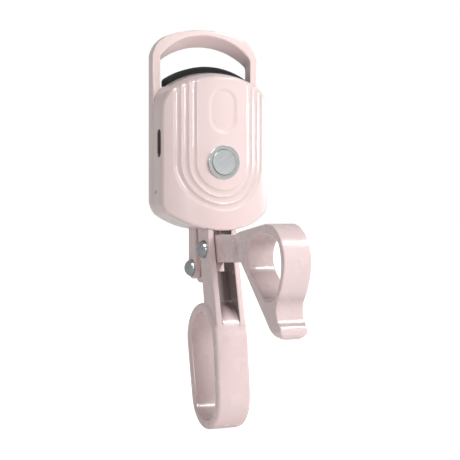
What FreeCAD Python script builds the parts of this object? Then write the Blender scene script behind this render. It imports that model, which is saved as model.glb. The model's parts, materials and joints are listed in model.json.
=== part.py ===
import FreeCAD, Part
import math
import os

# Heated eyelash curler. Millimetres, +Z up, -Y to the front (the button side), X across.
# Origin: the centre of the finger ring. The main pivot stands straight above it.

# Head
HEAD_WIDTH = 36.8
ARCH_TOP = 107.0
ARCH_SHOULDER = (13.4, 104.5)
ARCH_SHOULDER_MIDDLE = (16.5, 102.0)
ARCH_SPRING = 98.0
FRAME_FRONT = 9.4
FRAME_DEPTH = 4.1
FRAME_BACK = FRAME_FRONT + FRAME_DEPTH
POST_WIDTH = 2.6
WINDOW_FOOT = 84.0
HEAD_FOOT = 30.0
HEAD_CEILING = 100.0
WALL = 1.5
PLATE_THICKNESS = 1.2
PLATE_TOP = 91.2
ARCH_LIP = 1.4
ARCH_ROOT = 5.4
ARCH_LIP_DROP = 7.5
ARCH_ROOT_DROP = 5.9
HEAD_CORNER = 4.2
BELLY_TOP = 72.0

# Front cover
COVER_FRONT = -4.3
COVER_CREST = 93.0
COVER_CREST_RADIUS = 26.4
COVER_BOTTOM = 42.5
COVER_BOTTOM_RADIUS = 29.5
COVER_BOW_RADIUS = 30.3
COVER_EDGE = 1.6
FLUTE_INNER = 8.6
FLUTE_PITCH = 2.23
FLUTE_COUNT = 3
FLUTE_DEPTH = 0.3
FLUTE_LAND = 0.25
SCOOP_WIDTH = 10.2
SCOOP_TOP = 87.4
SCOOP_BOTTOM = 72.6
SCOOP_DEPTH = 0.35

# Power button
BUTTON_Z = 63.9
BEZEL_RADIUS = 5.35
BUTTON_RADIUS = 3.95
BUTTON_FACE = -4.9

# Charging socket and lamp in the left side
SOCKET_Y = 4.45
SOCKET_Z = 69.9
SOCKET_MOUTH = (2.7, 8.5)
SOCKET_BODY = (3.2, 9.0)
SOCKET_DEPTH = 7.3
LAMP_Y = 7.0
LAMP_Z = 54.7
LAMP_RADIUS = 0.45

# Pad, carrier and push rod
TRAVEL = 6.5
PAD_CREST = 95.0
PAD_RADIUS = 25.6
PAD_HALF = 14.5
PAD_FRONT = 7.4
PAD_BACK = 12.4
PAD_HEIGHT = 2.6
CARRIER_TOP_THICKNESS = 2.2
WEB_FRONT = 9.0
WEB_BACK = 11.6
ROD_WIDTH = 10.4
ROD_FRONT = 6.3
ROD_BACK = 12.0
ROD_TOP = 61.0
EAR_BOTTOM = 26.9
EAR_GAP = 6.0
EAR_GAP_TOP = 42.0

# Fork, finger ring and pivots
PIVOT_Z = 36.7
LINK_Y = 9.2
LINK_Z = 30.4
FORK_WIDTH = 10.0
FORK_SLOT = 6.0
FORK_BLOCK_BOTTOM = 44.0
FORK_BLOCK_TOP = 56.0
FORK_WEB_TOP = 29.5
RING_WIDTH = 11.2
RING_TOP = (1.0, 8.2, 11.5)
RING_BOTTOM = (-1.8, -8.8, 10.6)
RING_WALL = 2.9
RING_EDGE = 1.6
RIVET_RADIUS = 1.2
RIVET_HEAD_RADIUS = 2.85
RIVET_HEAD_HEIGHT = 2.3
RUNNING_GAP = 0.05
WASHER_THICKNESS = 0.25
WASHER_RADIUS = 2.6

# Thumb lever
LEVER_THICKNESS = 5.4
THUMB_WIDTH = 8.8
BUSH_RADIUS = 2.0
LINK_BOSS = 3.1
TAIL_LOBE = (8.7, 28.6, 3.0)
LINK_CLEARANCE = 0.42

# Fasteners
SCREW_PLACES = [(-13.9, 79.0), (13.9, 79.0), (-12.2, 50.5), (12.2, 50.5)]
SCREW_CORE = 0.75
SCREW_HOLE = 0.95
SCREW_BOSS = 2.0
SCREW_HEAD = 1.5
SCREW_SEAT = 1.65
SCREW_SEAT_DEPTH = 0.7
ROD_SCREW_LEVELS = (55.2, 58.8)
FORK_SCREW_PLACES = (0.7, 3.7)
FORK_SCREW_Z = 52.0

FAR = 60.0
HALF = HEAD_WIDTH / 2.0


def vec(x, y, z):
    return FreeCAD.Vector(x, y, z)


def block(x_range, y_range, z_range):
    size = [high - low for low, high in (x_range, y_range, z_range)]
    return Part.makeBox(size[0], size[1], size[2], vec(x_range[0], y_range[0], z_range[0]))


def rod_x(y, z, radius, low, high):
    return Part.makeCylinder(radius, high - low, vec(low, y, z), vec(1, 0, 0))


def rod_y(x, z, radius, low, high):
    return Part.makeCylinder(radius, high - low, vec(x, low, z), vec(0, 1, 0))


def rod_z(x, y, radius, low, high):
    return Part.makeCylinder(radius, high - low, vec(x, y, low), vec(0, 0, 1))


def fuse(shapes):
    whole = shapes[0]
    for shape in shapes[1:]:
        whole = whole.fuse(shape)
    return whole.removeSplitter()


def cut(shape, tools):
    for tool in tools:
        shape = shape.cut(tool)
    return shape


def side_point(point):
    return vec(0, point[0], point[1])


def front_point(point):
    return vec(point[0], 0, point[1])


def outline(start, steps, place):
    """Closed wire from a start point and steps: one point is a line, two are an arc."""
    edges = []
    here = start
    for step in steps:
        end = step[-1]
        if len(step) == 1:
            edges.append(Part.LineSegment(place(here), place(end)).toShape())
        else:
            edges.append(Part.Arc(place(here), place(step[0]), place(end)).toShape())
        here = end
    return Part.Wire(edges)


def side_slab(start, steps, half_width):
    face = Part.Face(outline(start, steps, side_point))
    face.translate(vec(-half_width, 0, 0))
    return face.extrude(vec(2 * half_width, 0, 0))


def front_slab(start, steps, low, high):
    face = Part.Face(outline(start, steps, front_point))
    face.translate(vec(0, low, 0))
    return face.extrude(vec(0, high - low, 0))


def stadium_y(half_width, z_low, z_high, y_low, y_high, x=0.0):
    """Upright slot shape along Y with round ends."""
    low = z_low + half_width
    high = z_high - half_width
    core = block((x - half_width, x + half_width), (y_low, y_high), (low, high))
    ends = [rod_y(x, level, half_width, y_low, y_high) for level in (low, high)]
    return fuse([core] + ends)


def stadium_x(y, z, width, height, x_low, x_high):
    """Upright slot shape along X with round ends."""
    radius = width / 2.0
    reach = height / 2.0 - radius
    core = block((x_low, x_high), (y - radius, y + radius), (z - reach, z + reach))
    ends = [rod_x(y, z + side * reach, radius, x_low, x_high) for side in (-1, 1)]
    return fuse([core] + ends)


def lever_stadium(y, z, radius, y_end, z_end, half_width):
    """Slot shape along X whose two round ends lie at (y, z) and (y_end, z_end)."""
    length = math.hypot(y_end - y, z_end - z)
    across_y = -(z_end - z) / length * radius
    across_z = (y_end - y) / length * radius
    corners = [(y + across_y, z + across_z), (y_end + across_y, z_end + across_z),
               (y_end - across_y, z_end - across_z), (y - across_y, z - across_z)]
    core = side_slab(corners[-1], [(corner,) for corner in corners], half_width)
    ends = [rod_x(a, b, radius, -half_width, half_width) for a, b in ((y, z), (y_end, z_end))]
    return fuse([core] + ends)


def dome(y, z, x_seat, side):
    """Domed rivet head standing on the plane x_seat."""
    ball = (RIVET_HEAD_RADIUS ** 2 + RIVET_HEAD_HEIGHT ** 2) / (2 * RIVET_HEAD_HEIGHT)
    centre = vec(x_seat + side * (RIVET_HEAD_HEIGHT - ball), y, z)
    sphere = Part.makeSphere(ball, centre)
    reach = sorted((x_seat, x_seat + side * 2 * ball))
    return sphere.common(block(reach, (y - FAR, y + FAR), (z - FAR, z + FAR)))


def rivet(y, z, grip_half):
    shank = rod_x(y, z, RIVET_RADIUS, -grip_half, grip_half)
    return fuse([shank, dome(y, z, -grip_half, -1), dome(y, z, grip_half, 1)])


def upright_edges(shape, half_width, z_low, z_high):
    """Edges that run along Y at the outer corners of a head outline."""
    found = []
    for edge in shape.Edges:
        middle = edge.CenterOfMass
        spread = edge.BoundBox
        along_y = spread.YLength > 0.5 and spread.XLength < 0.01 and spread.ZLength < 0.01
        if along_y and abs(abs(middle.x) - half_width) < 0.05 and z_low < middle.z < z_high:
            found.append(edge)
    return found


def head_body(y_low, y_high, inset):
    """Prism of the cover's outline, made smaller all round by inset."""
    half = HALF - inset
    body = block((-half, half), (y_low, y_high), (HEAD_FOOT, HEAD_CEILING))
    crest = rod_y(0, COVER_CREST - COVER_CREST_RADIUS, COVER_CREST_RADIUS - inset, y_low, y_high)
    crest = fuse([crest, block((-half, half), (y_low, y_high), (HEAD_FOOT, 68.0))])
    belly = rod_y(0, COVER_BOTTOM + COVER_BOTTOM_RADIUS, COVER_BOTTOM_RADIUS - inset, y_low, y_high)
    belly = fuse([belly, block((-half, half), (y_low, y_high), (BELLY_TOP, HEAD_CEILING))])
    body = body.common(crest).common(belly)
    corners = upright_edges(body, half, HEAD_FOOT, HEAD_CEILING)
    return body.makeFillet(HEAD_CORNER - inset, corners)


def bow(inset, low, high):
    """Drum that gives the cover its bowed front."""
    return rod_z(0, COVER_FRONT + COVER_BOW_RADIUS, COVER_BOW_RADIUS - inset, low, high)


def cover_body(inset):
    body = head_body(COVER_FRONT - 1.0, FRAME_FRONT, inset)
    return body.common(bow(inset, HEAD_FOOT, HEAD_CEILING))


def flute(index):
    """One U-shaped groove around the button, open at the top edge."""
    inner = FLUTE_INNER + index * FLUTE_PITCH + FLUTE_LAND
    outer = FLUTE_INNER + (index + 1) * FLUTE_PITCH - FLUTE_LAND
    rings = []
    for radius in (inner, outer):
        leg = block((-radius, radius), (-FAR, FRAME_FRONT), (BUTTON_Z, HEAD_CEILING))
        rings.append(fuse([rod_y(0, BUTTON_Z, radius, -FAR, FRAME_FRONT), leg]))
    return rings[1].cut(rings[0])


def front_cover():
    outer = cover_body(0.0)
    front_edges = []
    for edge in outer.Edges:
        spread = edge.BoundBox
        if spread.YMax < FRAME_FRONT - 1.0 and max(spread.XLength, spread.ZLength) > 2.0:
            front_edges.append(edge)
    outer = outer.makeFillet(COVER_EDGE, front_edges)
    skin = block((-HALF, HALF), (-FAR, FRAME_FRONT), (HEAD_FOOT, HEAD_CEILING))
    shallow = skin.cut(bow(FLUTE_DEPTH, 20.0, 110.0))
    deep = skin.cut(bow(SCOOP_DEPTH, 20.0, 110.0))
    half_scoop = SCOOP_WIDTH / 2.0
    scoop = stadium_y(half_scoop, SCOOP_BOTTOM, SCOOP_TOP, -FAR, FRAME_FRONT)
    shell = cut(outer, [flute(index).common(shallow) for index in range(FLUTE_COUNT)])
    shell = cut(shell, [scoop.common(deep), cover_body(WALL)])
    bosses = []
    for x, z in SCREW_PLACES:
        boss = rod_y(x, z, SCREW_BOSS, COVER_FRONT, FRAME_FRONT).common(cover_body(WALL - 0.3))
        bosses.append(boss.cut(rod_y(x, z, SCREW_CORE, 4.0, FRAME_BACK)))
    shell = fuse([shell] + bosses)
    pad_notch = block((-15.2, 15.2), (PAD_FRONT - 0.35, FRAME_BACK), (76.0, HEAD_CEILING))
    mouth_y, mouth_z = SOCKET_MOUTH
    openings = [
        pad_notch,
        rod_y(0, BUTTON_Z, BEZEL_RADIUS - 0.6, -FAR, 0.0),
        stadium_x(SOCKET_Y, SOCKET_Z, mouth_y, mouth_z, -FAR, -HALF + WALL + 1.0),
        rod_x(LAMP_Y, LAMP_Z, LAMP_RADIUS + 0.02, -FAR, -HALF + WALL + 1.0),
        block((-5.55, 5.55), (-3.4, FRAME_BACK), (30.0, 46.0)),
    ]
    return cut(shell, openings)


def arch_profile(y):
    """Window outline at depth y, whose top slopes down to the back."""
    share = (y - FRAME_FRONT) / FRAME_DEPTH
    crest = ARCH_TOP - ARCH_LIP - share * (ARCH_ROOT - ARCH_LIP)
    drop = ARCH_LIP_DROP + share * (ARCH_ROOT_DROP - ARCH_LIP_DROP)
    half = HALF - POST_WIDTH
    radius = (half ** 2 + drop ** 2) / (2 * drop)
    quarter = math.sqrt(radius ** 2 - (half / 2) ** 2) - (radius - crest)
    foot = (-half, WINDOW_FOOT)
    wire = outline(foot, [
        ((-half, crest - drop),), ((-half / 2, quarter), (half, crest - drop)),
        ((half, WINDOW_FOOT),), (foot,)], front_point)
    wire.translate(vec(0, y, 0))
    return wire


def arch_frame():
    """Back housing in one moulding: arch, two posts, rounded bottom and the wall behind the pad."""
    (shoulder, shoulder_z), (bend, bend_z) = ARCH_SHOULDER, ARCH_SHOULDER_MIDDLE
    arch = front_slab((-HALF, BELLY_TOP), [
        ((-HALF, ARCH_SPRING),), ((-bend, bend_z), (-shoulder, shoulder_z)),
        ((0.0, ARCH_TOP), (shoulder, shoulder_z)), ((bend, bend_z), (HALF, ARCH_SPRING)),
        ((HALF, BELLY_TOP),), ((-HALF, BELLY_TOP),)], FRAME_FRONT, FRAME_BACK)
    belly = head_body(FRAME_FRONT, FRAME_BACK, 0.0)
    belly = belly.common(block((-HALF, HALF), (0, 20), (HEAD_FOOT, BELLY_TOP)))
    frame = fuse([arch, belly])
    window = Part.makeLoft([arch_profile(FRAME_FRONT - 0.5), arch_profile(FRAME_BACK + 0.5)], True, True)
    pocket = head_body(FRAME_FRONT - 1.0, FRAME_BACK - PLATE_THICKNESS, POST_WIDTH)
    well = block((-HALF + POST_WIDTH, HALF - POST_WIDTH), (FRAME_FRONT - 1.0, FRAME_BACK + 1.0),
                 (68.0, 90.0))
    frame = cut(frame, [window, pocket, well])
    plate = rod_y(0, PLATE_TOP - PAD_RADIUS, PAD_RADIUS, FRAME_BACK - PLATE_THICKNESS, FRAME_BACK)
    fill = block((-16.5, 16.5), (FRAME_BACK - PLATE_THICKNESS, FRAME_BACK), (60.0, 80.0))
    plate = fuse([plate, fill]).common(block((-16.5, 16.5), (0, 20), (64.0, 95.0)))
    frame = fuse([frame, plate])
    tools = [block((-5.55, 5.55), (FRAME_FRONT - 1.0, FRAME_BACK - PLATE_THICKNESS), (38.0, 48.0))]
    for x, z in SCREW_PLACES:
        tools.append(rod_y(x, z, SCREW_HOLE, FRAME_FRONT, FRAME_BACK + 1.0))
        tools.append(rod_y(x, z, SCREW_SEAT, FRAME_BACK - SCREW_SEAT_DEPTH, FRAME_BACK + 1.0))
    return cut(frame, tools)


def housing_screws():
    screws = []
    for x, z in SCREW_PLACES:
        head = rod_y(x, z, SCREW_HEAD, FRAME_BACK - SCREW_SEAT_DEPTH, FRAME_BACK - 0.05)
        shank = rod_y(x, z, SCREW_CORE, 4.6, FRAME_BACK - SCREW_SEAT_DEPTH)
        recess = block((x - 0.2, x + 0.2), (FRAME_BACK - 0.4, FRAME_BACK), (z - 0.9, z + 0.9))
        cross = block((x - 0.9, x + 0.9), (FRAME_BACK - 0.4, FRAME_BACK), (z - 0.2, z + 0.2))
        screws.append(fuse([head, shank]).cut(recess).cut(cross))
    return Part.makeCompound(screws)


def inner_chassis():
    """Carrier plate behind the battery, with the rod's guide and the fork's socket."""
    plate = head_body(6.4, 7.0, WALL + 0.4).common(block((-FAR, FAR), (0, 20), (61.4, 88.0)))
    rails = [block((side * 6.6 - 1.0, side * 6.6 + 1.0), (5.5, 12.2), (47.0, 62.0)) for side in (-1, 1)]
    cheeks = [block((side * 6.3 - 1.2, side * 6.3 + 1.2), (-1.0, 5.6), (47.0, 56.0)) for side in (-1, 1)]
    rod_bay = block((-5.6, 5.6), (0.0, 20.0), (60.0, ROD_TOP + TRAVEL + 0.8))
    tools = [rod_x(y, FORK_SCREW_Z, 0.8, -8.0, 8.0) for y in FORK_SCREW_PLACES] + [rod_bay]
    for x, z in SCREW_PLACES:
        tools.append(rod_y(x, z, SCREW_BOSS + 0.1, 0.0, FRAME_BACK))
    return cut(fuse([plate] + rails + cheeks), tools)


def fork_screws():
    screws = []
    for y in FORK_SCREW_PLACES:
        for side in (-1, 1):
            low, high = sorted((side * 2.5, side * 7.5))
            head_low, head_high = sorted((side * 7.5, side * 8.1))
            shank = rod_x(y, FORK_SCREW_Z, 0.75, low, high)
            screws.append(fuse([shank, rod_x(y, FORK_SCREW_Z, 1.3, head_low, head_high)]))
    return Part.makeCompound(screws)


def ring_hull(shrink, half_width):
    """Loop shape: two circles joined by their outer tangents."""
    ends = []
    for y, z, radius in (RING_TOP, RING_BOTTOM):
        ends.append((y, z, radius - shrink))
    (y1, z1, r1), (y2, z2, r2) = ends
    length = math.hypot(y1 - y2, z1 - z2)
    lean = math.atan2(z1 - z2, y1 - y2)
    spread = math.acos((r2 - r1) / length)
    corners = []
    for angle in (lean + spread, lean - spread):
        for y, z, radius in ends:
            corners.append((y + radius * math.cos(angle), z + radius * math.sin(angle)))
    core = side_slab(corners[0], [(corners[index],) for index in (1, 3, 2, 0)], half_width)
    rounds = [rod_x(y, z, radius, -half_width, half_width) for y, z, radius in ends]
    return fuse([core] + rounds)


def fork_handle():
    """Two cheeks, the cross block above, the web between them and the finger ring: one moulding."""
    half = FORK_WIDTH / 2.0
    cheeks = side_slab((5.2, FORK_BLOCK_TOP), [
        ((5.0, 42.6),), ((-0.3, 18.5),), ((-7.5, 8.0),), ((-9.9, 13.6),),
        ((-4.3, 37.0),), ((-3.6, 40.0), (-3.3, FORK_BLOCK_BOTTOM),),
        ((-1.9, FORK_BLOCK_BOTTOM + 2.0),), ((-1.9, FORK_BLOCK_TOP),), ((5.2, FORK_BLOCK_TOP),)], half)
    ring = ring_hull(0.0, RING_WIDTH / 2.0)
    rims = [edge for edge in ring.Edges if abs(abs(edge.CenterOfMass.x) - RING_WIDTH / 2.0) < 0.01]
    ring = ring.makeFillet(RING_EDGE, rims)
    slot = side_slab((-FAR, 5.0), [
        ((-FAR, FORK_BLOCK_BOTTOM),), ((FAR, FORK_BLOCK_BOTTOM),), ((FAR, FORK_WEB_TOP),),
        ((0.8, FORK_WEB_TOP),), ((-1.7, 18.5),), ((-4.8, 5.0),), ((-FAR, 5.0),)], FORK_SLOT / 2.0)
    cheeks = cheeks.cut(slot.cut(ring_hull(0.0, FORK_SLOT)))
    body = fuse([cheeks, ring])
    tools = [ring_hull(RING_WALL, FAR), rod_x(0, PIVOT_Z, RIVET_RADIUS, -FAR, FAR)]
    for y in FORK_SCREW_PLACES:
        tools.append(rod_x(y, FORK_SCREW_Z, 0.75, -FAR, FAR))
    return cut(body, tools)


def pivot_washers():
    washers = []
    for side in (-1, 1):
        low, high = sorted((side * (FORK_SLOT / 2.0 - WASHER_THICKNESS), side * FORK_SLOT / 2.0))
        disc = rod_x(0, PIVOT_Z, WASHER_RADIUS, low, high)
        washers.append(disc.cut(rod_x(0, PIVOT_Z, RIVET_RADIUS, -FAR, FAR)))
    return Part.makeCompound(washers)


def circuit_board():
    board = block((-13.3, 13.3), (0.7, 1.6), (59.5, 84.0))
    socket_gap = block((-FAR, -9.8), (-FAR, FAR), (SOCKET_Z - 5.0, SOCKET_Z + 5.0))
    tools = [socket_gap]
    for x, z in SCREW_PLACES:
        tools.append(rod_y(x, z, SCREW_BOSS + 0.3, -FAR, FAR))
    return cut(board, tools)


def usb_c_socket():
    width, height = SOCKET_BODY
    outer_x = -HALF + WALL
    shell = stadium_x(SOCKET_Y, SOCKET_Z, width, height, outer_x, outer_x + SOCKET_DEPTH)
    well = stadium_x(SOCKET_Y, SOCKET_Z, width - 0.6, height - 0.6,
                     outer_x - 1.0, outer_x + SOCKET_DEPTH - 0.8)
    tongue = block((outer_x + 0.6, outer_x + SOCKET_DEPTH - 0.6),
                   (SOCKET_Y - 0.35, SOCKET_Y + 0.35), (SOCKET_Z - 3.3, SOCKET_Z + 3.3))
    return fuse([shell.cut(well), tongue])


def battery_cell():
    cell = block((-8.5, 11.0), (1.9, 6.1), (62.6, 84.5))
    return cell.makeFillet(0.8, cell.Edges)


def charge_lamp():
    pipe = rod_x(LAMP_Y, LAMP_Z, LAMP_RADIUS, -HALF + 0.05, -HALF + WALL)
    flange = rod_x(LAMP_Y, LAMP_Z, LAMP_RADIUS + 0.7, -HALF + WALL, -HALF + WALL + 2.4)
    return fuse([pipe, flange])


def button_bezel():
    """Ring set in the cover, with a sleeve that guides the button."""
    face = rod_y(0, BUTTON_Z, BEZEL_RADIUS, COVER_FRONT - 0.45, COVER_FRONT + 0.55)
    sleeve = rod_y(0, BUTTON_Z, BEZEL_RADIUS - 0.62, COVER_FRONT - 0.45, -1.9)
    bore = rod_y(0, BUTTON_Z, BUTTON_RADIUS + 0.1, -FAR, FAR)
    return cut(fuse([face.cut(cover_body(0.0)), sleeve]), [bore])


def power_button():
    cap = rod_y(0, BUTTON_Z, BUTTON_RADIUS, BUTTON_FACE, BUTTON_FACE + 1.8)
    rim = [edge for edge in cap.Edges if abs(edge.CenterOfMass.y - BUTTON_FACE) < 0.01]
    cap = cap.makeFillet(0.3, rim)
    stem = rod_y(0, BUTTON_Z, 0.9, BUTTON_FACE + 1.8, -1.45)
    return fuse([cap, stem])


def button_spring():
    outer = rod_y(0, BUTTON_Z, 2.6, BUTTON_FACE + 1.8, -0.1)
    return outer.cut(rod_y(0, BUTTON_Z, 2.1, -FAR, FAR))


def tact_switch():
    base = block((-2.9, 2.9), (-0.1, 0.7), (BUTTON_Z - 2.9, BUTTON_Z + 2.9))
    return fuse([base, rod_y(0, BUTTON_Z, 1.0, -0.75, -0.1)])


def pad_band(top, bottom, half, y_low, y_high):
    """Arc-shaped band under the arch: crest heights top and bottom, same centre line."""
    centre = PAD_CREST - PAD_RADIUS
    outer = rod_y(0, centre, top - centre, y_low, y_high)
    inner = rod_y(0, centre, bottom - centre, y_low - 1.0, y_high + 1.0)
    return outer.cut(inner).common(block((-half, half), (y_low, y_high), (centre, FAR * 2)))


def silicone_pad():
    pad = pad_band(PAD_CREST, PAD_CREST - PAD_HEIGHT, PAD_HALF, PAD_FRONT, PAD_BACK)
    seat = PAD_CREST - PAD_HEIGHT
    return pad.cut(pad_band(seat + 0.9, seat - 1.0, PAD_HALF - 0.8, 8.4, 11.4))


def heater_plate():
    top = PAD_CREST - PAD_HEIGHT + 0.9
    return pad_band(top, top - 0.5, PAD_HALF - 0.85, 8.45, 11.35)


def pad_carrier():
    seat = PAD_CREST - PAD_HEIGHT
    rim = pad_band(seat, seat - CARRIER_TOP_THICKNESS, PAD_HALF - 0.2, PAD_FRONT + 0.4, PAD_BACK - 0.5)
    lip = pad_band(seat + 0.35, seat, PAD_HALF - 0.85, 8.45, 11.35)
    web = front_slab((-9.0, 89.0), [
        ((9.0, 89.0),), ((5.0, 66.0),), ((5.0, ROD_TOP),), ((-5.0, ROD_TOP),),
        ((-5.0, 66.0),), ((-9.0, 89.0),)], WEB_FRONT, WEB_BACK)
    tongue = block((-4.0, 4.0), (9.4, 11.2), (53.0, ROD_TOP + 1.0))
    body = fuse([rim, lip, web, tongue])
    sensor_seat = block((-1.3, 1.3), (8.0, 9.6), (86.0, 90.4))
    screws = [rod_y(0, z, 0.8, 0.0, 20.0) for z in ROD_SCREW_LEVELS]
    return cut(body, [sensor_seat] + screws)


def temperature_sensor():
    return block((-1.2, 1.2), (8.1, 8.95), (86.6, 89.6))


def push_rod():
    """Flat rod with a socket for the carrier's tongue and two ears round the lever's tail."""
    half = ROD_WIDTH / 2.0
    middle = (ROD_FRONT + ROD_BACK) / 2.0
    round_z = EAR_BOTTOM + (ROD_BACK - ROD_FRONT) / 2.0
    rod = side_slab((ROD_FRONT, ROD_TOP), [
        ((ROD_FRONT, round_z),), ((middle, EAR_BOTTOM), (ROD_BACK, round_z)),
        ((ROD_BACK, ROD_TOP),), ((ROD_FRONT, ROD_TOP),)], half)
    gap = block((-EAR_GAP / 2.0, EAR_GAP / 2.0), (0.0, 20.0), (20.0, EAR_GAP_TOP))
    socket = block((-4.0, 4.0), (9.4, 11.2), (53.0, ROD_TOP + 1.0))
    tools = [gap, socket, rod_x(LINK_Y, LINK_Z, RIVET_RADIUS, -FAR, FAR)]
    for z in ROD_SCREW_LEVELS:
        tools.append(rod_y(0, z, 0.8, 0.0, 20.0))
        tools.append(rod_y(0, z, 1.4, 0.0, ROD_FRONT + 0.8))
    return cut(rod, tools)


def rod_screws():
    screws = []
    for z in ROD_SCREW_LEVELS:
        head = rod_y(0, z, 1.35, ROD_FRONT + 0.1, ROD_FRONT + 0.8)
        screws.append(fuse([head, rod_y(0, z, 0.8, ROD_FRONT + 0.8, ROD_BACK - 0.2)]))
    return Part.makeCompound(screws)


def thumb_lever():
    """Lever with a flat root, a wider thumb ring in front and a tail behind the pivot."""
    half = LEVER_THICKNESS / 2.0
    root = side_slab((-22.0, 41.6), [
        ((1.0, 41.4),), ((3.9, 40.2), (5.2, 37.2)), ((8.0, 34.0),), ((5.8, 27.9),),
        ((1.6, 32.4),), ((-22.0, 33.5),), ((-22.0, 41.6),)], half)
    lobe_y, lobe_z, lobe_radius = TAIL_LOBE
    tail = fuse([rod_x(LINK_Y, LINK_Z, LINK_BOSS, -half, half),
                 rod_x(lobe_y, lobe_z, lobe_radius, -half, half)])
    plate = side_slab((-15.6, 41.5), [
        ((-41.0, 45.2),), ((-50.2, 41.6), (-53.0, 34.9)), ((-51.9, 29.6), (-48.8, 23.9)),
        ((-48.0, 20.9), (-49.5, 17.4)), ((-50.6, 14.4), (-48.2, 13.0)), ((-46.9, 13.0), (-45.9, 13.6)),
        ((-25.2, 33.55),), ((-15.6, 33.45),), ((-15.6, 41.5),)], THUMB_WIDTH / 2.0)
    shoulder = block((-FAR, FAR), (-26.0, -10.0), (30.0, 46.0))
    flanks = side_to_plate()
    plate = plate.cut(shoulder).fuse(plate.common(shoulder).common(flanks))
    hole = side_slab((-33.0, 40.5), [
        ((-41.5, 42.7), (-49.2, 39.9)), ((-50.8, 34.6), (-49.0, 27.2)), ((-45.3, 23.7), (-40.6, 23.9)),
        ((-31.9, 30.8),), ((-29.9, 35.6), (-33.0, 40.5))], FAR)
    body = fuse([root, tail, plate])
    slot = lever_stadium(LINK_Y, LINK_Z, RIVET_RADIUS + LINK_CLEARANCE, *inner_link_point(), FAR)
    bore = rod_x(0, PIVOT_Z, BUSH_RADIUS, -FAR, FAR)
    return cut(body, [hole, slot, bore])


def inner_link_point():
    """Where the link rivet lies in the lever's slot when the pad is up."""
    reach = math.hypot(LINK_Y, LINK_Z - PIVOT_Z)
    share = LINK_Y / reach
    return (LINK_Y * share, PIVOT_Z + (LINK_Z - PIVOT_Z) * share)


def side_to_plate():
    """Wedge, seen from above, that widens the lever from its root to the thumb ring."""
    narrow = LEVER_THICKNESS / 2.0
    wide = THUMB_WIDTH / 2.0
    corners = [(-narrow, -15.5), (-wide, -26.0), (wide, -26.0), (narrow, -15.5)]
    points = [vec(x, y, 30.0) for x, y in corners]
    face = Part.Face(Part.makePolygon(points + points[:1]))
    return face.extrude(vec(0, 0, 16.0))


def lever_bush():
    tube = rod_x(0, PIVOT_Z, BUSH_RADIUS, -LEVER_THICKNESS / 2.0, LEVER_THICKNESS / 2.0)
    return tube.cut(rod_x(0, PIVOT_Z, RIVET_RADIUS + RUNNING_GAP, -FAR, FAR))


def main_pivot_rivet():
    return rivet(0, PIVOT_Z, FORK_WIDTH / 2.0)


def link_rivet():
    return rivet(LINK_Y, LINK_Z, ROD_WIDTH / 2.0)


NODES = [
    arch_frame, front_cover, housing_screws, inner_chassis, circuit_board, battery_cell,
    usb_c_socket, charge_lamp, tact_switch, button_bezel, fork_handle, fork_screws,
    main_pivot_rivet, pivot_washers, silicone_pad, heater_plate, temperature_sensor,
    pad_carrier, push_rod, rod_screws, link_rivet, thumb_lever, lever_bush,
    power_button, button_spring,
]


def main():
    os.makedirs("parts", exist_ok=True)
    for build in NODES:
        shape = build()
        box = shape.optimalBoundingBox()
        print("%-20s valid %s solids %d volume %8.1f  x %.1f %.1f y %.1f %.1f z %.1f %.1f" % (
            build.__name__, shape.isValid(), len(shape.Solids), shape.Volume,
            box.XMin, box.XMax, box.YMin, box.YMax, box.ZMin, box.ZMax))
        shape.exportStep("parts/%s.step" % build.__name__)


main()
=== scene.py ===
"""Looks of a heated eyelash curler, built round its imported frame.

Moulded pieces are signed distance fields, turned into meshes and pulled onto the exact surface.
Turned pieces are lathe profiles, and what repeats is placed by Geometry Nodes.
Fields and profiles are in millimetres, in the frame's own axes: +Z up, -Y front, X across.
"""

from __future__ import annotations

import json
import logging
import math
from dataclasses import dataclass, field
from enum import Enum
from typing import Callable, Sequence

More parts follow.
